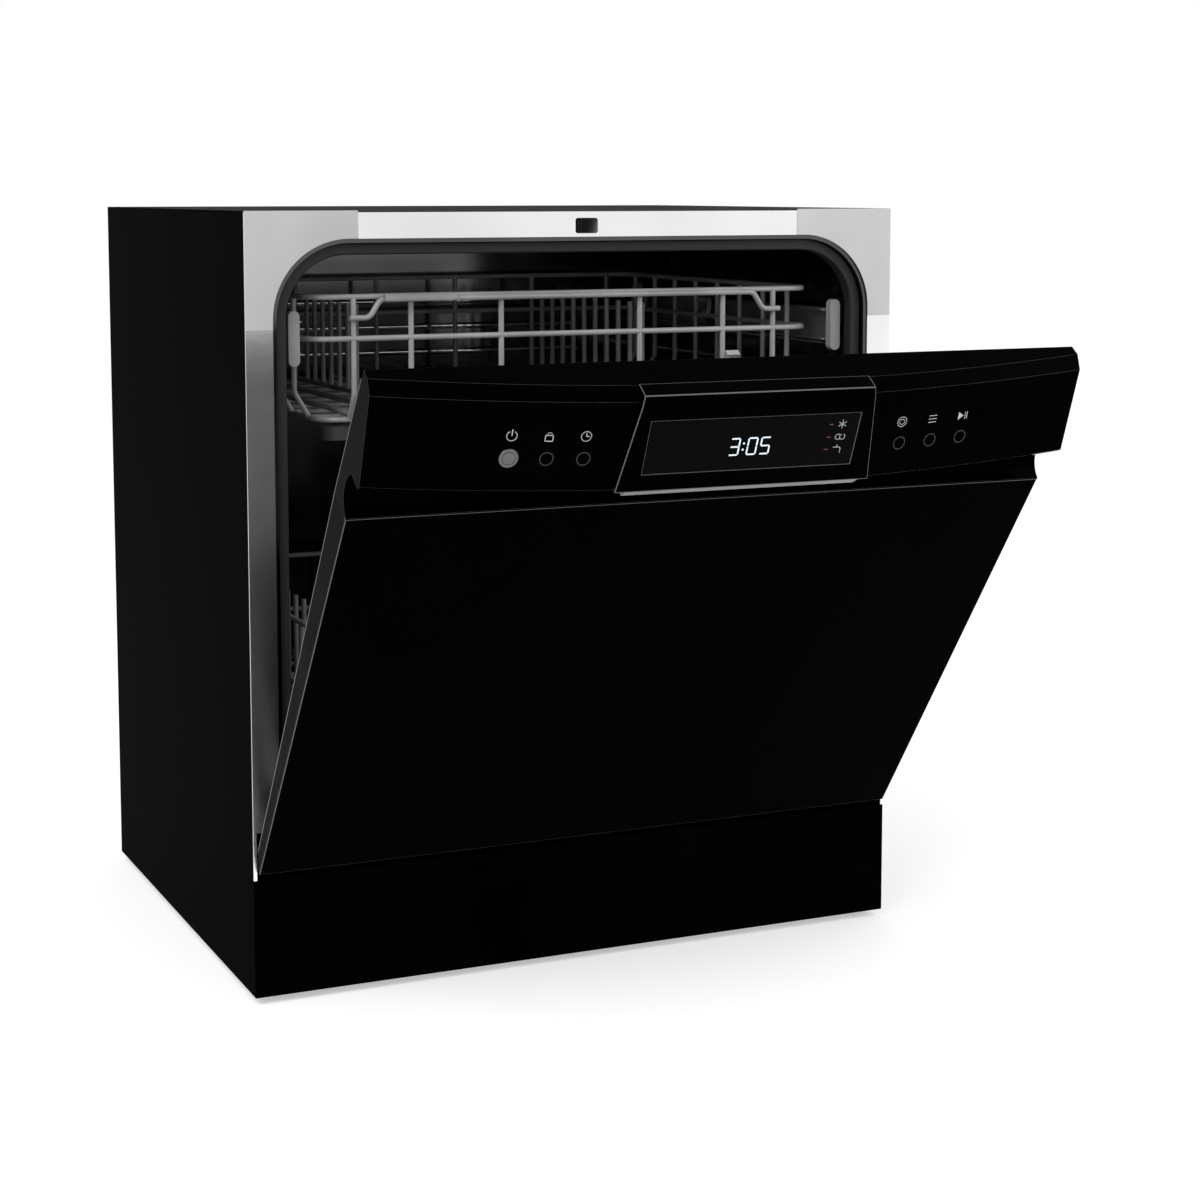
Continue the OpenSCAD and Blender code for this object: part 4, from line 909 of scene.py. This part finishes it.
class DISH_OT_back_screws(Make):
    """Puts the screws round the rear panel"""

    bl_idname = "dish.back_screws"
    bl_label = "Back screws"

    def make(self, scene):
        low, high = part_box("rear_panel")
        edge = 9 * MM
        face = high.y
        zs = spread(low.z + 2 * edge, high.z - 2 * edge, 0.15)
        points = [(x, face, z) for x in (low.x + edge, high.x - edge) for z in zs]
        points += [(x, face, high.z - edge) for x in spread(low.x + 0.1, high.x - 0.1, 0.12)]
        screw = screw_mesh(scene.casing_sizes.screw)
        turn = Matrix.Rotation(math.radians(-90), 3, "X").to_euler()
        copies("back_screws", points, turn, screw, "zinc_steel", "cabinet")


class DISH_OT_back_ribs(Make):
    """Raises the ribs that stiffen the rear panel"""

    bl_idname = "dish.back_ribs"
    bl_label = "Back ribs"

    def make(self, scene):
        low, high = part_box("rear_panel")
        face = high.y - 1.2 * MM
        inset = 60 * MM
        lines = [
            [(x, face, low.z + inset), (x, face, high.z - inset)]
            for x in spread(low.x + 2 * inset, high.x - 2 * inset, 0.15)
        ]
        wires("back_ribs", lines, 3 * MM, 0, "zinc_steel", "cabinet", sides=16)


class DISH_OT_front_frame(Make):
    """Dresses the steel frame, its corner plates and the latch slot"""

    bl_idname = "dish.front_frame"
    bl_label = "Front frame"

    def make(self, scene):
        soften("front_frame", 0, flat=False)
        soften("corner_plates", 0.15 * MM, flat=False, material=brushed_plate("corner_plates"))
        catch = moulded_plastic("latch_catch", grey(120))
        soften("latch_catch", 0.3 * MM, flat=False, material=catch)
        low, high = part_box("latch_catch")
        middle = (low.z + high.z) / 2
        back_wall = high.y - 2.6 * MM
        reach = 5 * MM
        inset = 3 * MM
        lines = [
            [(x, back_wall, middle - reach), (x, back_wall, middle + reach)]
            for x in spread(low.x + inset, high.x - inset, 2.6 * MM)
        ]
        wires("latch_ribs", lines, 0.6 * MM, 0, "dark_grey_plastic", "cabinet", sides=8)


class DISH_OT_tub(Make):
    """Dresses the tub and raises its ribs"""

    bl_idname = "dish.tub"
    bl_label = "Tub"

    def make(self, scene):
        sizes = scene.casing_sizes
        soften("tub", 0, flat=False)
        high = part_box("tub")[1]
        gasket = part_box("tub_gasket")[1]
        half = gasket.x
        front = gasket.y + 24 * MM
        back = high.y - 30 * MM
        back_wall = high.y - 0.6 * MM
        back_half = half - 70 * MM
        lines = []
        for i in range(sizes.rib_count):
            z = high.z - 70 * MM - 24 * MM * i
            for side in (-1, 1):
                lines.append([(side * half, front, z), (side * half, back, z)])
            lines.append([(-back_half, back_wall, z), (back_half, back_wall, z)])
        # The ribs take a brighter copy of the tub's steel, a painted highlight.
        wires(
            "tub_ribs", lines, sizes.rib, 0, "stainless_tub", "cabinet", sides=16,
            material=finish("bright_steel"),
        )


class DISH_OT_gasket(Make):
    """Sweeps the gasket with its lip round the tub's mouth"""

    bl_idname = "dish.gasket"
    bl_label = "Gasket"

    def make(self, scene):
        soften("tub_gasket", 1.5 * MM, 3, flat=False)
        low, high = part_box("tub_gasket")
        lip = scene.casing_sizes.lip
        inset = 9 * MM - lip / 2
        half = high.x - inset
        top = high.z - inset
        bottom = low.z + 2 * MM
        y = low.y + lip
        line = [(-half, y, bottom), (-half, y, top), (half, y, top), (half, y, bottom)]
        corner = 48 * MM
        wires("gasket_lip", [line], lip / 2, corner, "black_rubber", "cabinet", sides=12, steps=16)


# ---- racks ---------------------------------------------------------------------------


# Half of the upper rack's width, its front's uprights and half of its handle, in millimetres. The front
# is stretched from these to the rack's own width.
UPPER_HALF = 217
UPRIGHTS = (-181.5, -135, -60, 60, 135, 181.5)
HANDLE_HALF = 161

# Rows of tines: the long wire that carries them, and their first and last place along Y.
UPPER_TINES = [(2, 0, 0.14), (-3, -0.08, 0.14)]
LOWER_TINES = [(1, -0.12, 0.14), (4, -0.12, 0.14), (7, 0.02, 0.14)]

# A bracket's legs stand this far before and behind its wheel.
LEG = 12 * MM


def loop(half, y0, y1, z):
    """A level loop of wire."""
    return [(-half, y0, z), (half, y0, z), (half, y1, z), (-half, y1, z), (-half, y0, z)]


def floor_places(node, wire):
    """Half width, front, back and height of a rack from its floor's box."""
    low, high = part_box(node)
    return high.x + wire / 2, low.y, high.y, low.z + wire / 2


def grid_lines(half, y0, y1, z, wire, rows, tine):
    """A rack's floor: cross wires, long wires and upright tines."""
    lines = [[(-half, y, z), (half, y, z)] for y in spread(y0 + 30 * MM, y1 - 30 * MM, 46 * MM)]
    long_xs = spread(-half + 24 * MM, half - 24 * MM, 34 * MM)
    lines += [[(x, y0, z + wire), (x, y1, z + wire)] for x in long_xs]
    for index, start, end in rows:
        x = long_xs[index]
        for y in spread(start, end, 24 * MM):
            lines.append([(x, y, z + wire), (x, y, z + tine)])
    return lines


class DISH_OT_upper_rack(Make):
    """Bends the upper rack's wires"""

    bl_idname = "dish.upper_rack"
    bl_label = "Upper rack"

    def make(self, scene):
        sizes = scene.rack_sizes
        wire = sizes.wire
        inner, y0, back, z = floor_places("upper_basket_floor", wire)
        half = inner + sizes.draw_in
        front = y0 - sizes.draw_in
        top = z + sizes.upper_top + 2 * MM
        mid = z + sizes.upper_mid
        rims = [
            loop(half, front, back, top), loop(half, front, back, mid), loop(inner, y0, back, z),
        ]
        wires(
            "upper_rims", rims, wire / 2, sizes.corner, "coated_wire", "upper_rack",
            replaced=("upper_basket",),
        )
        lines = self.front_lines(sizes, half, front, y0, z, top)
        for x in spread(-inner + 10 * MM, inner - 10 * MM, 75 * MM):
            lines.append([(x, back, z), (x, back, top)])
        for side in (-1, 1):
            for y in spread(front + 40 * MM, back - sizes.corner, 44 * MM):
                lines.append([
                    (side * half, y, top), (side * half, y, z + 20 * MM), (side * inner, y, z),
                ])
        wires("upper_wires", lines, wire / 2, 7 * MM, "coated_wire", "upper_rack")
        floor = grid_lines(inner, y0, back, z, wire, UPPER_TINES, sizes.tine)
        wires(
            "upper_floor_wires", floor, wire / 2, 0, "coated_wire", "upper_rack",
            replaced=("upper_basket_floor",),
        )
        for name in ("upper_front_wheels", "upper_rear_wheels"):
            self.bracket(name, half, mid)
        soften("handle_sleeve", 0.5 * MM, flat=False)
        soften("upper_arm_feed", 0, flat=False)

    def front_lines(self, sizes, half, front, y0, z, top):
        """The handle wire with its dipped ends, and the front's uprights."""
        uprights = [part * half / UPPER_HALF for part in UPRIGHTS]
        handle = HANDLE_HALF * half / UPPER_HALF
        bend = handle + 9 * MM
        end = uprights[-1] + 4 * MM
        y = front - sizes.wire + 0.5 * MM
        high = z + sizes.upper_top
        low = high - sizes.handle_dip
        lines = [[
            (-end, y, low), (-bend, y, low), (-handle, y, high),
            (handle, y, high), (bend, y, low), (end, y, low),
        ]]
        for x in uprights:
            head = top if abs(x) > handle else high
            lines.append([(x, front, head), (x, front, z + 20 * MM), (x, y0, z), (x, y0 + 20 * MM, z)])
        return lines

    def bracket(self, name, half, mid):
        """The legs and the pin that carry a pair of wheels."""
        low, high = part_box(name)
        y = (low.y + high.y) / 2
        pin_z = (low.z + high.z) / 2
        foot_x = half + 2 * MM
        foot_z = pin_z + 12 * MM
        lines = []
        for side in (-1, 1):
            for dy in (-LEG, LEG):
                lines.append([
                    (side * half, y + dy, mid), (side * foot_x, y + dy, foot_z),
                    (side * foot_x, y, foot_z),
                ])
            lines.append([(side * half, y, pin_z), (side * (high.x - 1 * MM), y, pin_z)])
        wires(name + "_brackets", lines, 2.6 * MM, 4 * MM, "grey_plastic", "upper_rack")


class DISH_OT_lower_rack(Make):
    """Bends the lower rack's wires"""

    bl_idname = "dish.lower_rack"
    bl_label = "Lower rack"

    def make(self, scene):
        sizes = scene.rack_sizes
        wire = sizes.wire
        half, y0, back, z = floor_places("lower_basket_floor", wire)
        front = y0 - sizes.draw_in
        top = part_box("lower_basket")[1].z - wire / 2
        rims = [loop(half, front, back, h) for h in (z + 45 * MM, top)]
        rims.append(loop(half, y0, back, z))
        wires(
            "lower_rims", rims, wire / 2, sizes.corner, "coated_wire", "lower_rack",
            replaced=("lower_basket",),
        )
        lines = []
        for x in spread(-half + 24 * MM, half - 24 * MM, 52 * MM):
            lines.append([(x, front, top), (x, front, z + 24 * MM), (x, y0, z), (x, y0 + 20 * MM, z)])
            lines.append([(x, back, z), (x, back, top)])
        for side in (-1, 1):
            for y in spread(front + 30 * MM, back - 18 * MM, 46 * MM):
                lines.append([(side * half, y, z), (side * half, y, top)])
        for name in ("lower_front_wheels", "lower_rear_wheels"):
            low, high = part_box(name)
            y = (low.y + high.y) / 2
            wheel_z = (low.z + high.z) / 2
            for side in (-1, 1):
                for dy in (-LEG, LEG):
                    lines.append([(side * half, y + dy, z), (side * half, y, wheel_z)])
                lines.append([(side * half, y, wheel_z), (side * (high.x + 1.5 * MM), y, wheel_z)])
        wires("lower_wires", lines, wire / 2, 7 * MM, "coated_wire", "lower_rack")
        floor = grid_lines(half, y0, back, z, wire, LOWER_TINES, sizes.tine)
        wires(
            "lower_floor_wires", floor, wire / 2, 0, "coated_wire", "lower_rack",
            replaced=("lower_basket_floor",),
        )
        soften("cutlery_basket", 0.6 * MM)


# Thickness of the rack wheels and rollers, and the radius of the bore for their pins.
LOWER_WHEEL = 7 * MM
UPPER_WHEEL = 6.4 * MM
WHEEL_BORE = 3.06 * MM


def wheel_mesh(r, thick, bore):
    """A wheel with a rounded tread, a dished face and a hub, about Z."""
    half = thick / 2
    return lathe("wheel", [
        (bore, -half), (bore + 1.6 * MM, -half), (bore + 1.8 * MM, -half + 0.6 * MM),
        (r - 2.2 * MM, -half + 0.8 * MM), (r - 1.8 * MM, -half), (r - 0.7 * MM, -half),
        (r, -half + 0.9 * MM), (r, half - 0.9 * MM), (r - 0.7 * MM, half),
        (r - 1.8 * MM, half), (r - 2.2 * MM, half - 0.8 * MM), (bore + 1.8 * MM, half - 0.6 * MM),
        (bore + 1.6 * MM, half), (bore, half), (bore, -half),
    ], 40)


class DISH_OT_wheels(Make):
    """Turns the rack wheels and the rail rollers"""

    bl_idname = "dish.wheels"
    bl_label = "Wheels"

    def make(self, scene):
        names = [
            "front_tub_rollers", "rear_tub_rollers", "upper_front_wheels", "upper_rear_wheels",
            "lower_front_wheels", "lower_rear_wheels",
        ]
        turn = Matrix.Rotation(math.radians(90), 3, "Y").to_euler()
        for name in names:
            low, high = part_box(name)
            radius = (high.z - low.z) / 2
            thick = LOWER_WHEEL if name.startswith("lower") else UPPER_WHEEL
            y = (low.y + high.y) / 2
            z = (low.z + high.z) / 2
            x = high.x - thick / 2
            mesh = wheel_mesh(radius, thick, WHEEL_BORE)
            piece = copies(
                name + "_turned", [(-x, y, z), (x, y, z)], turn, mesh, "dark_grey_plastic", name
            )
            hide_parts(name)


class DISH_OT_rails(Make):
    """Dresses the telescopic rails and their caps"""

    bl_idname = "dish.rails"
    bl_label = "Rails"

    def make(self, scene):
        soften_all({"upper_rails": 0.3, "rail_caps": 0.9})


# ---- water system -----------------------------------------------------------------------


class DISH_OT_water(Make):
    """Dresses the sump, pumps, softener, valve, pipes and filters"""

    bl_idname = "dish.water"
    bl_label = "Water system"

    def make(self, scene):
        soften_all({
            "wash_pump": 1.0, "drain_pump": 1.0, "softener": 2.0, "inlet_valve": 0.8,
            "sump": 0.6, "feed_pipe": 0.5, "salt_cap": 0.8, "filter_cup": 0.4,
        })
        soften("filter_plate", 0.2 * MM, flat=False)


# The tops of the spray arms' blades.
ARM_TOPS = {"lower_spray_arm": 155.1 * MM, "upper_spray_arm": 418.5 * MM}


class DISH_OT_spray_arms(Make):
    """Dresses the spray arms and sets their nozzles"""

    bl_idname = "dish.spray_arms"
    bl_label = "Spray arms"

    def make(self, scene):
        for name, top in ARM_TOPS.items():
            soften(name, 3 * MM, 3)
            low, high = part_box(name)
            y = (low.y + high.y) / 2
            xs = spread(40 * MM, high.x - 12 * MM, 22 * MM)
            points = [
                (side * x, y + side * (6 * MM if i % 2 else -4 * MM), top)
                for side in (-1, 1) for i, x in enumerate(xs)
            ]
            ring = lathe("nozzle", [
                (2.6 * MM, -0.4 * MM), (2.6 * MM, 0.5 * MM), (1.6 * MM, 0.6 * MM),
                (1.3 * MM, -0.2 * MM), (0, -0.2 * MM),
            ], 16)
            copies(name + "_nozzles", points, (0, 0, 0), ring, "dark_grey_plastic", name)


# ---- door ---------------------------------------------------------------------------------


class DISH_OT_door(Make):
    """Dresses the door panel, its edge, liner, hinges and hook"""

    bl_idname = "dish.door"
    bl_label = "Door"

    def make(self, scene):
        # The door panel's rounded edges take a painted highlight.
        soften("door_panel", 0.5 * MM, edge="worn_edge")
        soften("door_frame", 0.4 * MM)
        soften("door_liner", 0.5 * MM, flat=False)
        soften("hinge_arms", 0.3 * MM, flat=False)
        soften("hinge_brackets", 0.3 * MM, flat=False)
        soften("door_hook", 0.3 * MM, flat=False)


class DISH_OT_springs(Make):
    """Winds the two door springs"""

    bl_idname = "dish.springs"
    bl_label = "Door springs"

    def make(self, scene):
        low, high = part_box("door_springs")
        middle = (low.z + high.z) / 2
        wire = 0.85 * MM
        coil_r = 4.6 * MM
        x = high.x - 5.5 * MM
        hook_x = x - 12 * MM
        hook_y = low.y + 2.4 * MM
        first = low.y + 22 * MM
        last = high.y - 16 * MM
        turns = 32
        steps = 14
        count = turns * steps
        lines = []
        for side in (-1, 1):
            line = [(side * hook_x, hook_y, middle), (side * x, hook_y, middle)]
            for i in range(count + 1):
                angle = 2 * math.pi * i / steps
                y = first + (last - first) * i / count
                across = x + coil_r * math.sin(angle)
                line.append((side * across, y, middle + coil_r * math.cos(angle)))
            line.append((side * x, last + 8 * MM, middle))
            lines.append(line)
        wires(
            "door_springs_wound", lines, wire, 0, "zinc_steel", "cabinet", sides=6,
            replaced=("door_springs",),
        )


class DISH_OT_fascia(Make):
    """Dresses the control fascia, the display block and the silver strip"""

    bl_idname = "dish.fascia"
    bl_label = "Fascia"

    def make(self, scene):
        # The fascia's and the display block's rounded edges take a painted highlight.
        soften("control_fascia", 0.6 * MM, 2, flat=False, edge="worn_edge")
        soften("display_block", 0.6 * MM, 2, flat=False, edge="worn_edge")
        soften("display_window", 0.3 * MM)
        soften("silver_strip", 0.3 * MM, flat=False)
        soften("display_board", 0, flat=False)


# The ring round a button: its outer radius, its width and how far it stands out.
RING_R = 4.9 * MM
RING_W = 0.55 * MM
RING_OUT = 0.16 * MM

# A printed mark's middle stands this far above its button, and this far inside the button's front.
MARK_UP = 16 * MM
MARK_IN = 0.9 * MM

# Plates of print and light are this thick.
FILM = 0.05 * MM


class DISH_OT_buttons(Make):
    """Dresses the buttons and gives each its ring"""

    bl_idname = "dish.buttons"
    bl_label = "Buttons"

    def make(self, scene):
        profile = [
            (RING_R, 0.1 * MM), (RING_R, -0.1 * MM), (RING_R - 0.15 * MM, -RING_OUT),
            (RING_R - 0.4 * MM, -RING_OUT), (RING_R - RING_W, -0.1 * MM),
            (RING_R - RING_W, 0.1 * MM), (RING_R, 0.1 * MM),
        ]
        for name in MARKS:
            soften(name, 0.4 * MM, 3)
            turn = button_place(name) @ Matrix.Rotation(math.radians(-90), 4, "X")
            ring = lathe(name + "_ring", profile, 40, turn)
            new_piece(name + "_ring", ring, "dark_grey_plastic", name)


# Each mark is drawn one unit wide, in X and Z about its middle, as a list of outlines.


def power_mark():
    """A ring that is open at the top, with an upright bar in the gap."""
    return bent_bar(arc(0, 0, 0.42, 125, 415, 18), 0.08) + [bar(0, 0.05, 0, 0.52, 0.08)]


def lock_mark():
    """A padlock."""
    case = [(-0.32, -0.42), (0.32, -0.42), (0.32, 0.08), (-0.32, 0.08), (-0.32, -0.42)]
    return bent_bar(case, 0.07) + bent_bar(arc(0, 0.1, 0.22, 0, 180), 0.06)


def clock_mark():
    """A clock face with two hands."""
    hands = [bar(0, 0, 0, 0.27, 0.08), bar(0, 0, 0.2, 0, 0.08)]
    return bent_bar(arc(0, 0, 0.42, 0, 360, 24), 0.065) + hands


def plate_mark():
    """A dinner plate from above."""
    rim = bent_bar(arc(0, 0, 0.44, 0, 360, 24), 0.065)
    return rim + bent_bar(arc(0, 0, 0.24, 0, 360, 18), 0.06)


def list_mark():
    """Three level bars."""
    return [bar(-0.36, z, 0.36, z, 0.06) for z in (-0.3, 0.0, 0.3)]


def play_mark():
    """A triangle and two upright bars."""
    triangle = [(-0.45, -0.36), (0.08, 0), (-0.45, 0.36)]
    return [triangle] + [bar(x, -0.3, x, 0.3, 0.06) for x in (0.24, 0.44)]


def star_mark():
    """Three bars that cross."""
    ends = [arc(0, 0, 0.45, turn, turn + 180, 1) for turn in (90, 150, 210)]
    return [bar(*first, *last, 0.07) for first, last in ends]


def salt_mark():
    """Two open rings side by side."""
    left = bent_bar(arc(-0.2, 0, 0.3, 60, 330, 10), 0.07)
    return left + bent_bar(arc(0.28, 0, 0.3, 120, 420, 10), 0.07)


def tap_mark():
    """A tap with its knob and a drop."""
    spout = [(-0.45, 0.2), (0.2, 0.2), (0.36, 0.05), (0.36, -0.2)]
    knob = bar(-0.1, 0.2, -0.1, 0.45, 0.07)
    drop = bar(0.36, -0.42, 0.36, -0.36, 0.07)
    return bent_bar(spout, 0.08) + [knob, drop]


def sized(outlines, size, x=0.0, z=0.0):
    """Outlines of unit size, brought to a size and a place."""
    return [[(x + u * size, z + v * size) for u, v in outline] for outline in outlines]


MARKS = {
    "power_button": power_mark,
    "lock_button": lock_mark,
    "timer_button": clock_mark,
    "program_button": plate_mark,
    "function_button": list_mark,
    "start_button": play_mark,
}


class DISH_OT_marks(Make):
    """Prints a mark above each button"""

    bl_idname = "dish.marks"
    bl_label = "Button marks"

    def make(self, scene):
        size = scene.display_sizes.mark
        paint = light_mark("printed_marks", (0.5, 0.52, 0.54), 0.0)
        verts = []
        faces = []
        for name, mark in MARKS.items():
            place = button_place(name) @ Matrix.Translation((0, MARK_IN, MARK_UP))
            more_verts, more_faces = plates(sized(mark(), size), FILM, place)
            faces += [[i + len(verts) for i in face] for face in more_faces]
            verts += more_verts
        new_piece("button_marks", mesh_of("button_marks", verts, faces), "silver_trim", "door", paint)


# The bars that are lit in each digit: a at the top, g in the middle, d at the bottom, the others at the
# sides.
SEGMENTS = {"0": "abcdef", "3": "abgcd", "5": "afgcd"}


def digit_bars(figure, x, z, w, h, stroke):
    """The lit bars of a seven-bar digit centred at x and z."""
    left, right, low, high = x - w / 2, x + w / 2, z - h / 2, z + h / 2
    trim = 0.62 * stroke
    places = {
        "a": (left + trim, high, right - trim, high), "g": (left + trim, z, right - trim, z),
        "d": (left + trim, low, right - trim, low), "f": (left, z + trim, left, high - trim),
        "b": (right, z + trim, right, high - trim), "e": (left, low + trim, left, z - trim),
        "c": (right, low + trim, right, z - trim),
    }
    return [bar(*places[key], stroke * 0.8) for key in SEGMENTS[figure]]


# The digits and the two dots between them, from the middle of the window.
DIGITS = (("3", -14 * MM), ("0", -0.6 * MM), ("5", 9.4 * MM))
DIGITS_Z = -2 * MM
DOTS_X = -7.3 * MM
DOTS_APART = 2.4 * MM
DOT_R = 0.8 * MM

# The icons one above the other, each with a dash beside it.
ICONS = ((star_mark, 12 * MM), (salt_mark, 2 * MM), (tap_mark, -7.5 * MM))
ICON = 7 * MM
ICON_X = 67 * MM
DASH = (57 * MM, 59.5 * MM)
DASH_W = 0.7 * MM


class DISH_OT_display(Make):
    """Lights the time and the icons in the window"""

    bl_idname = "dish.display"
    bl_label = "Display"

    def make(self, scene):
        sizes = scene.display_sizes
        place = window_place()
        bars = []
        for figure, x in DIGITS:
            bars += digit_bars(figure, x, DIGITS_Z, sizes.digit_w, sizes.digit_h, sizes.stroke)
        for dz in (-DOTS_APART, DOTS_APART):
            bars.append(arc(DOTS_X, DIGITS_Z + dz, DOT_R, 0, 330, 11))
        self.light("display_marks", bars, place, light_mark("lit_marks", tuple(sizes.lit), 0.6))
        icons = []
        for mark, z in ICONS:
            icons += sized(mark(), ICON, ICON_X, z)
        self.light("display_icons", icons, place, light_mark("dim_marks", (0.36, 0.38, 0.4), 0.25))
        dashes = [bar(DASH[0], z, DASH[1], z, DASH_W) for _, z in ICONS]
        self.light("display_dashes", dashes, place, light_mark("red_marks", (0.16, 0.01, 0.01), 0.12))

    def light(self, name, outlines, place, paint):
        """Shows outlines as one lit piece."""
        mesh = mesh_of(name, *plates(outlines, FILM, place))
        new_piece(name, mesh, "silver_trim", "door", paint)


class DISH_OT_dispenser(Make):
    """Dresses the detergent dispenser, its lid and the rinse aid cap"""

    bl_idname = "dish.dispenser"
    bl_label = "Dispenser"

    def make(self, scene):
        soften_all({"dispenser_lid": 0.6, "rinse_cap": 0.6})
        soften("dispenser_body", 0.6 * MM, flat=False)


# ---- stage -----------------------------------------------------------------------------------


# The camera's place, the angle of its view to the right of +Y, and its pitch, all from a fit to the
# photograph.
CAMERA_PLACE = (-0.7567, -1.9200, 0.6169)
CAMERA_YAW = 24.34
CAMERA_PITCH = -6.13

# Each lamp's place and size, and what both face.
KEY_PLACE = (-1.9, -1.5, 2.4)
KEY_SIZE = 1.8
FILL_PLACE = (2.1, -1.7, 1.5)
FILL_SIZE = 1.6
LAMP_TARGET = (0, 0, 0.3)


def lamp(name, place, target, size, power):
    """A square soft box that faces its target."""
    data = bpy.data.lights.new(name, "AREA")
    data.shape = "SQUARE"
    data.size = size
    data.energy = power
    box = bpy.data.objects.new(name, data)
    box.location = place
    box.rotation_euler = (Vector(target) - Vector(place)).to_track_quat("-Z", "Y").to_euler()
    bpy.context.scene.collection.objects.link(box)


def stage_paint(colour, glow, brightness):
    """White to the camera and in mirrors, with the object's shadow kept."""
    shader = Shader("stage_paint")
    cloud = shader.noise(0.8, 2.0)
    near = tuple(0.985 * part for part in colour)
    shader.set(
        Base_Color=shader.tint(cloud, near, colour),
        Roughness=shader.between(cloud, 0.7, 0.8),
        Specular_IOR_Level=0.1,
    )
    light = shader.node("ShaderNodeEmission", {}, Color=(1, 1, 1, 1), Strength=brightness)
    plain = Signal(shader, shader.surface.outputs[0])
    both = shader.node("ShaderNodeMixShader", {}, shader.seen() * glow, plain, light)
    shader.put(shader.tree.nodes["Material Output"].inputs["Surface"], both)
    return shader.material


def studio_world():
    """Soft light from all round, which looks plain white where it is seen."""
    world = bpy.data.worlds.new("studio")
    world.use_nodes = True
    graph = Graph(world.node_tree)
    shade = graph.tree.nodes["Background"]
    graph.put(shade.inputs["Color"], (0.92, 0.93, 0.95, 1))
    graph.put(shade.inputs["Strength"], 0.8)
    soft = Signal(graph, shade.outputs[0])
    white = graph.node("ShaderNodeBackground", {}, Color=(1, 1, 1, 1), Strength=1.0)
    both = graph.node("ShaderNodeMixShader", {}, graph.seen(), soft, white)
    graph.put(graph.tree.nodes["World Output"].inputs["Surface"], both)
    return world


class DISH_OT_stage(Make):
    """Lays the floor, hangs the lamps and sets the camera"""

    bl_idname = "dish.stage"
    bl_label = "Stage"

    def make(self, scene):
        sizes = scene.stage_sizes
        reach = sizes.reach
        corners = [(-reach, -reach, 0), (reach, -reach, 0), (reach, reach, 0), (-reach, reach, 0)]
        mesh = mesh_of("floor", corners, [(0, 1, 2, 3)])
        floor = bpy.data.objects.new("floor", mesh)
        scene.collection.objects.link(floor)
        mesh.materials.append(stage_paint(tuple(sizes.floor), sizes.glow, sizes.brightness))
        scene.world = studio_world()
        lamp("key_lamp", KEY_PLACE, LAMP_TARGET, KEY_SIZE, sizes.key)
        lamp("fill_lamp", FILL_PLACE, LAMP_TARGET, FILL_SIZE, sizes.fill)
        self.camera(scene, sizes)

    def camera(self, scene, sizes):
        data = bpy.data.cameras.new("camera")
        data.sensor_width = 36
        data.lens = sizes.lens
        data.shift_y = sizes.shift
        data.clip_end = 50
        camera = bpy.data.objects.new("camera", data)
        camera.location = CAMERA_PLACE
        camera.rotation_euler = (math.radians(90 + CAMERA_PITCH), 0, -math.radians(CAMERA_YAW))
        scene.collection.objects.link(camera)
        scene.camera = camera


OPERATORS = [
    DISH_OT_stage, DISH_OT_casing, DISH_OT_back_screws, DISH_OT_back_ribs, DISH_OT_front_frame,
    DISH_OT_tub, DISH_OT_gasket, DISH_OT_rails, DISH_OT_wheels, DISH_OT_upper_rack,
    DISH_OT_lower_rack, DISH_OT_water, DISH_OT_spray_arms, DISH_OT_door, DISH_OT_springs,
    DISH_OT_fascia, DISH_OT_buttons, DISH_OT_marks, DISH_OT_display, DISH_OT_dispenser,
]


class DISH_PT_panel(bpy.types.Panel):
    """The dishwasher's pieces in the sidebar"""

    bl_label = "Dishwasher"
    bl_idname = "DISH_PT_panel"
    bl_space_type = "VIEW_3D"
    bl_region_type = "UI"
    bl_category = "Dishwasher"

    def draw(self, context):
        for operator in OPERATORS:
            self.layout.operator(operator.bl_idname)
        for name, group in GROUPS.items():
            for key in group.__annotations__:
                self.layout.prop(getattr(context.scene, name), key)


def register():
    for name, group in GROUPS.items():
        bpy.utils.register_class(group)
        setattr(bpy.types.Scene, name, PointerProperty(type=group))
    for operator in OPERATORS:
        bpy.utils.register_class(operator)
    bpy.utils.register_class(DISH_PT_panel)


def unregister():
    bpy.utils.unregister_class(DISH_PT_panel)
    for operator in reversed(OPERATORS):
        bpy.utils.unregister_class(operator)
    for name, group in GROUPS.items():
        delattr(bpy.types.Scene, name)
        bpy.utils.unregister_class(group)


def main():
    register()
    scene = bpy.context.scene
    scene.view_settings.view_transform = "Standard"
    for operator in OPERATORS:
        group, name = operator.bl_idname.split(".")
        getattr(getattr(bpy.ops, group), name)()
    bpy.context.view_layer.update()


if __name__ == "__main__":
    main()
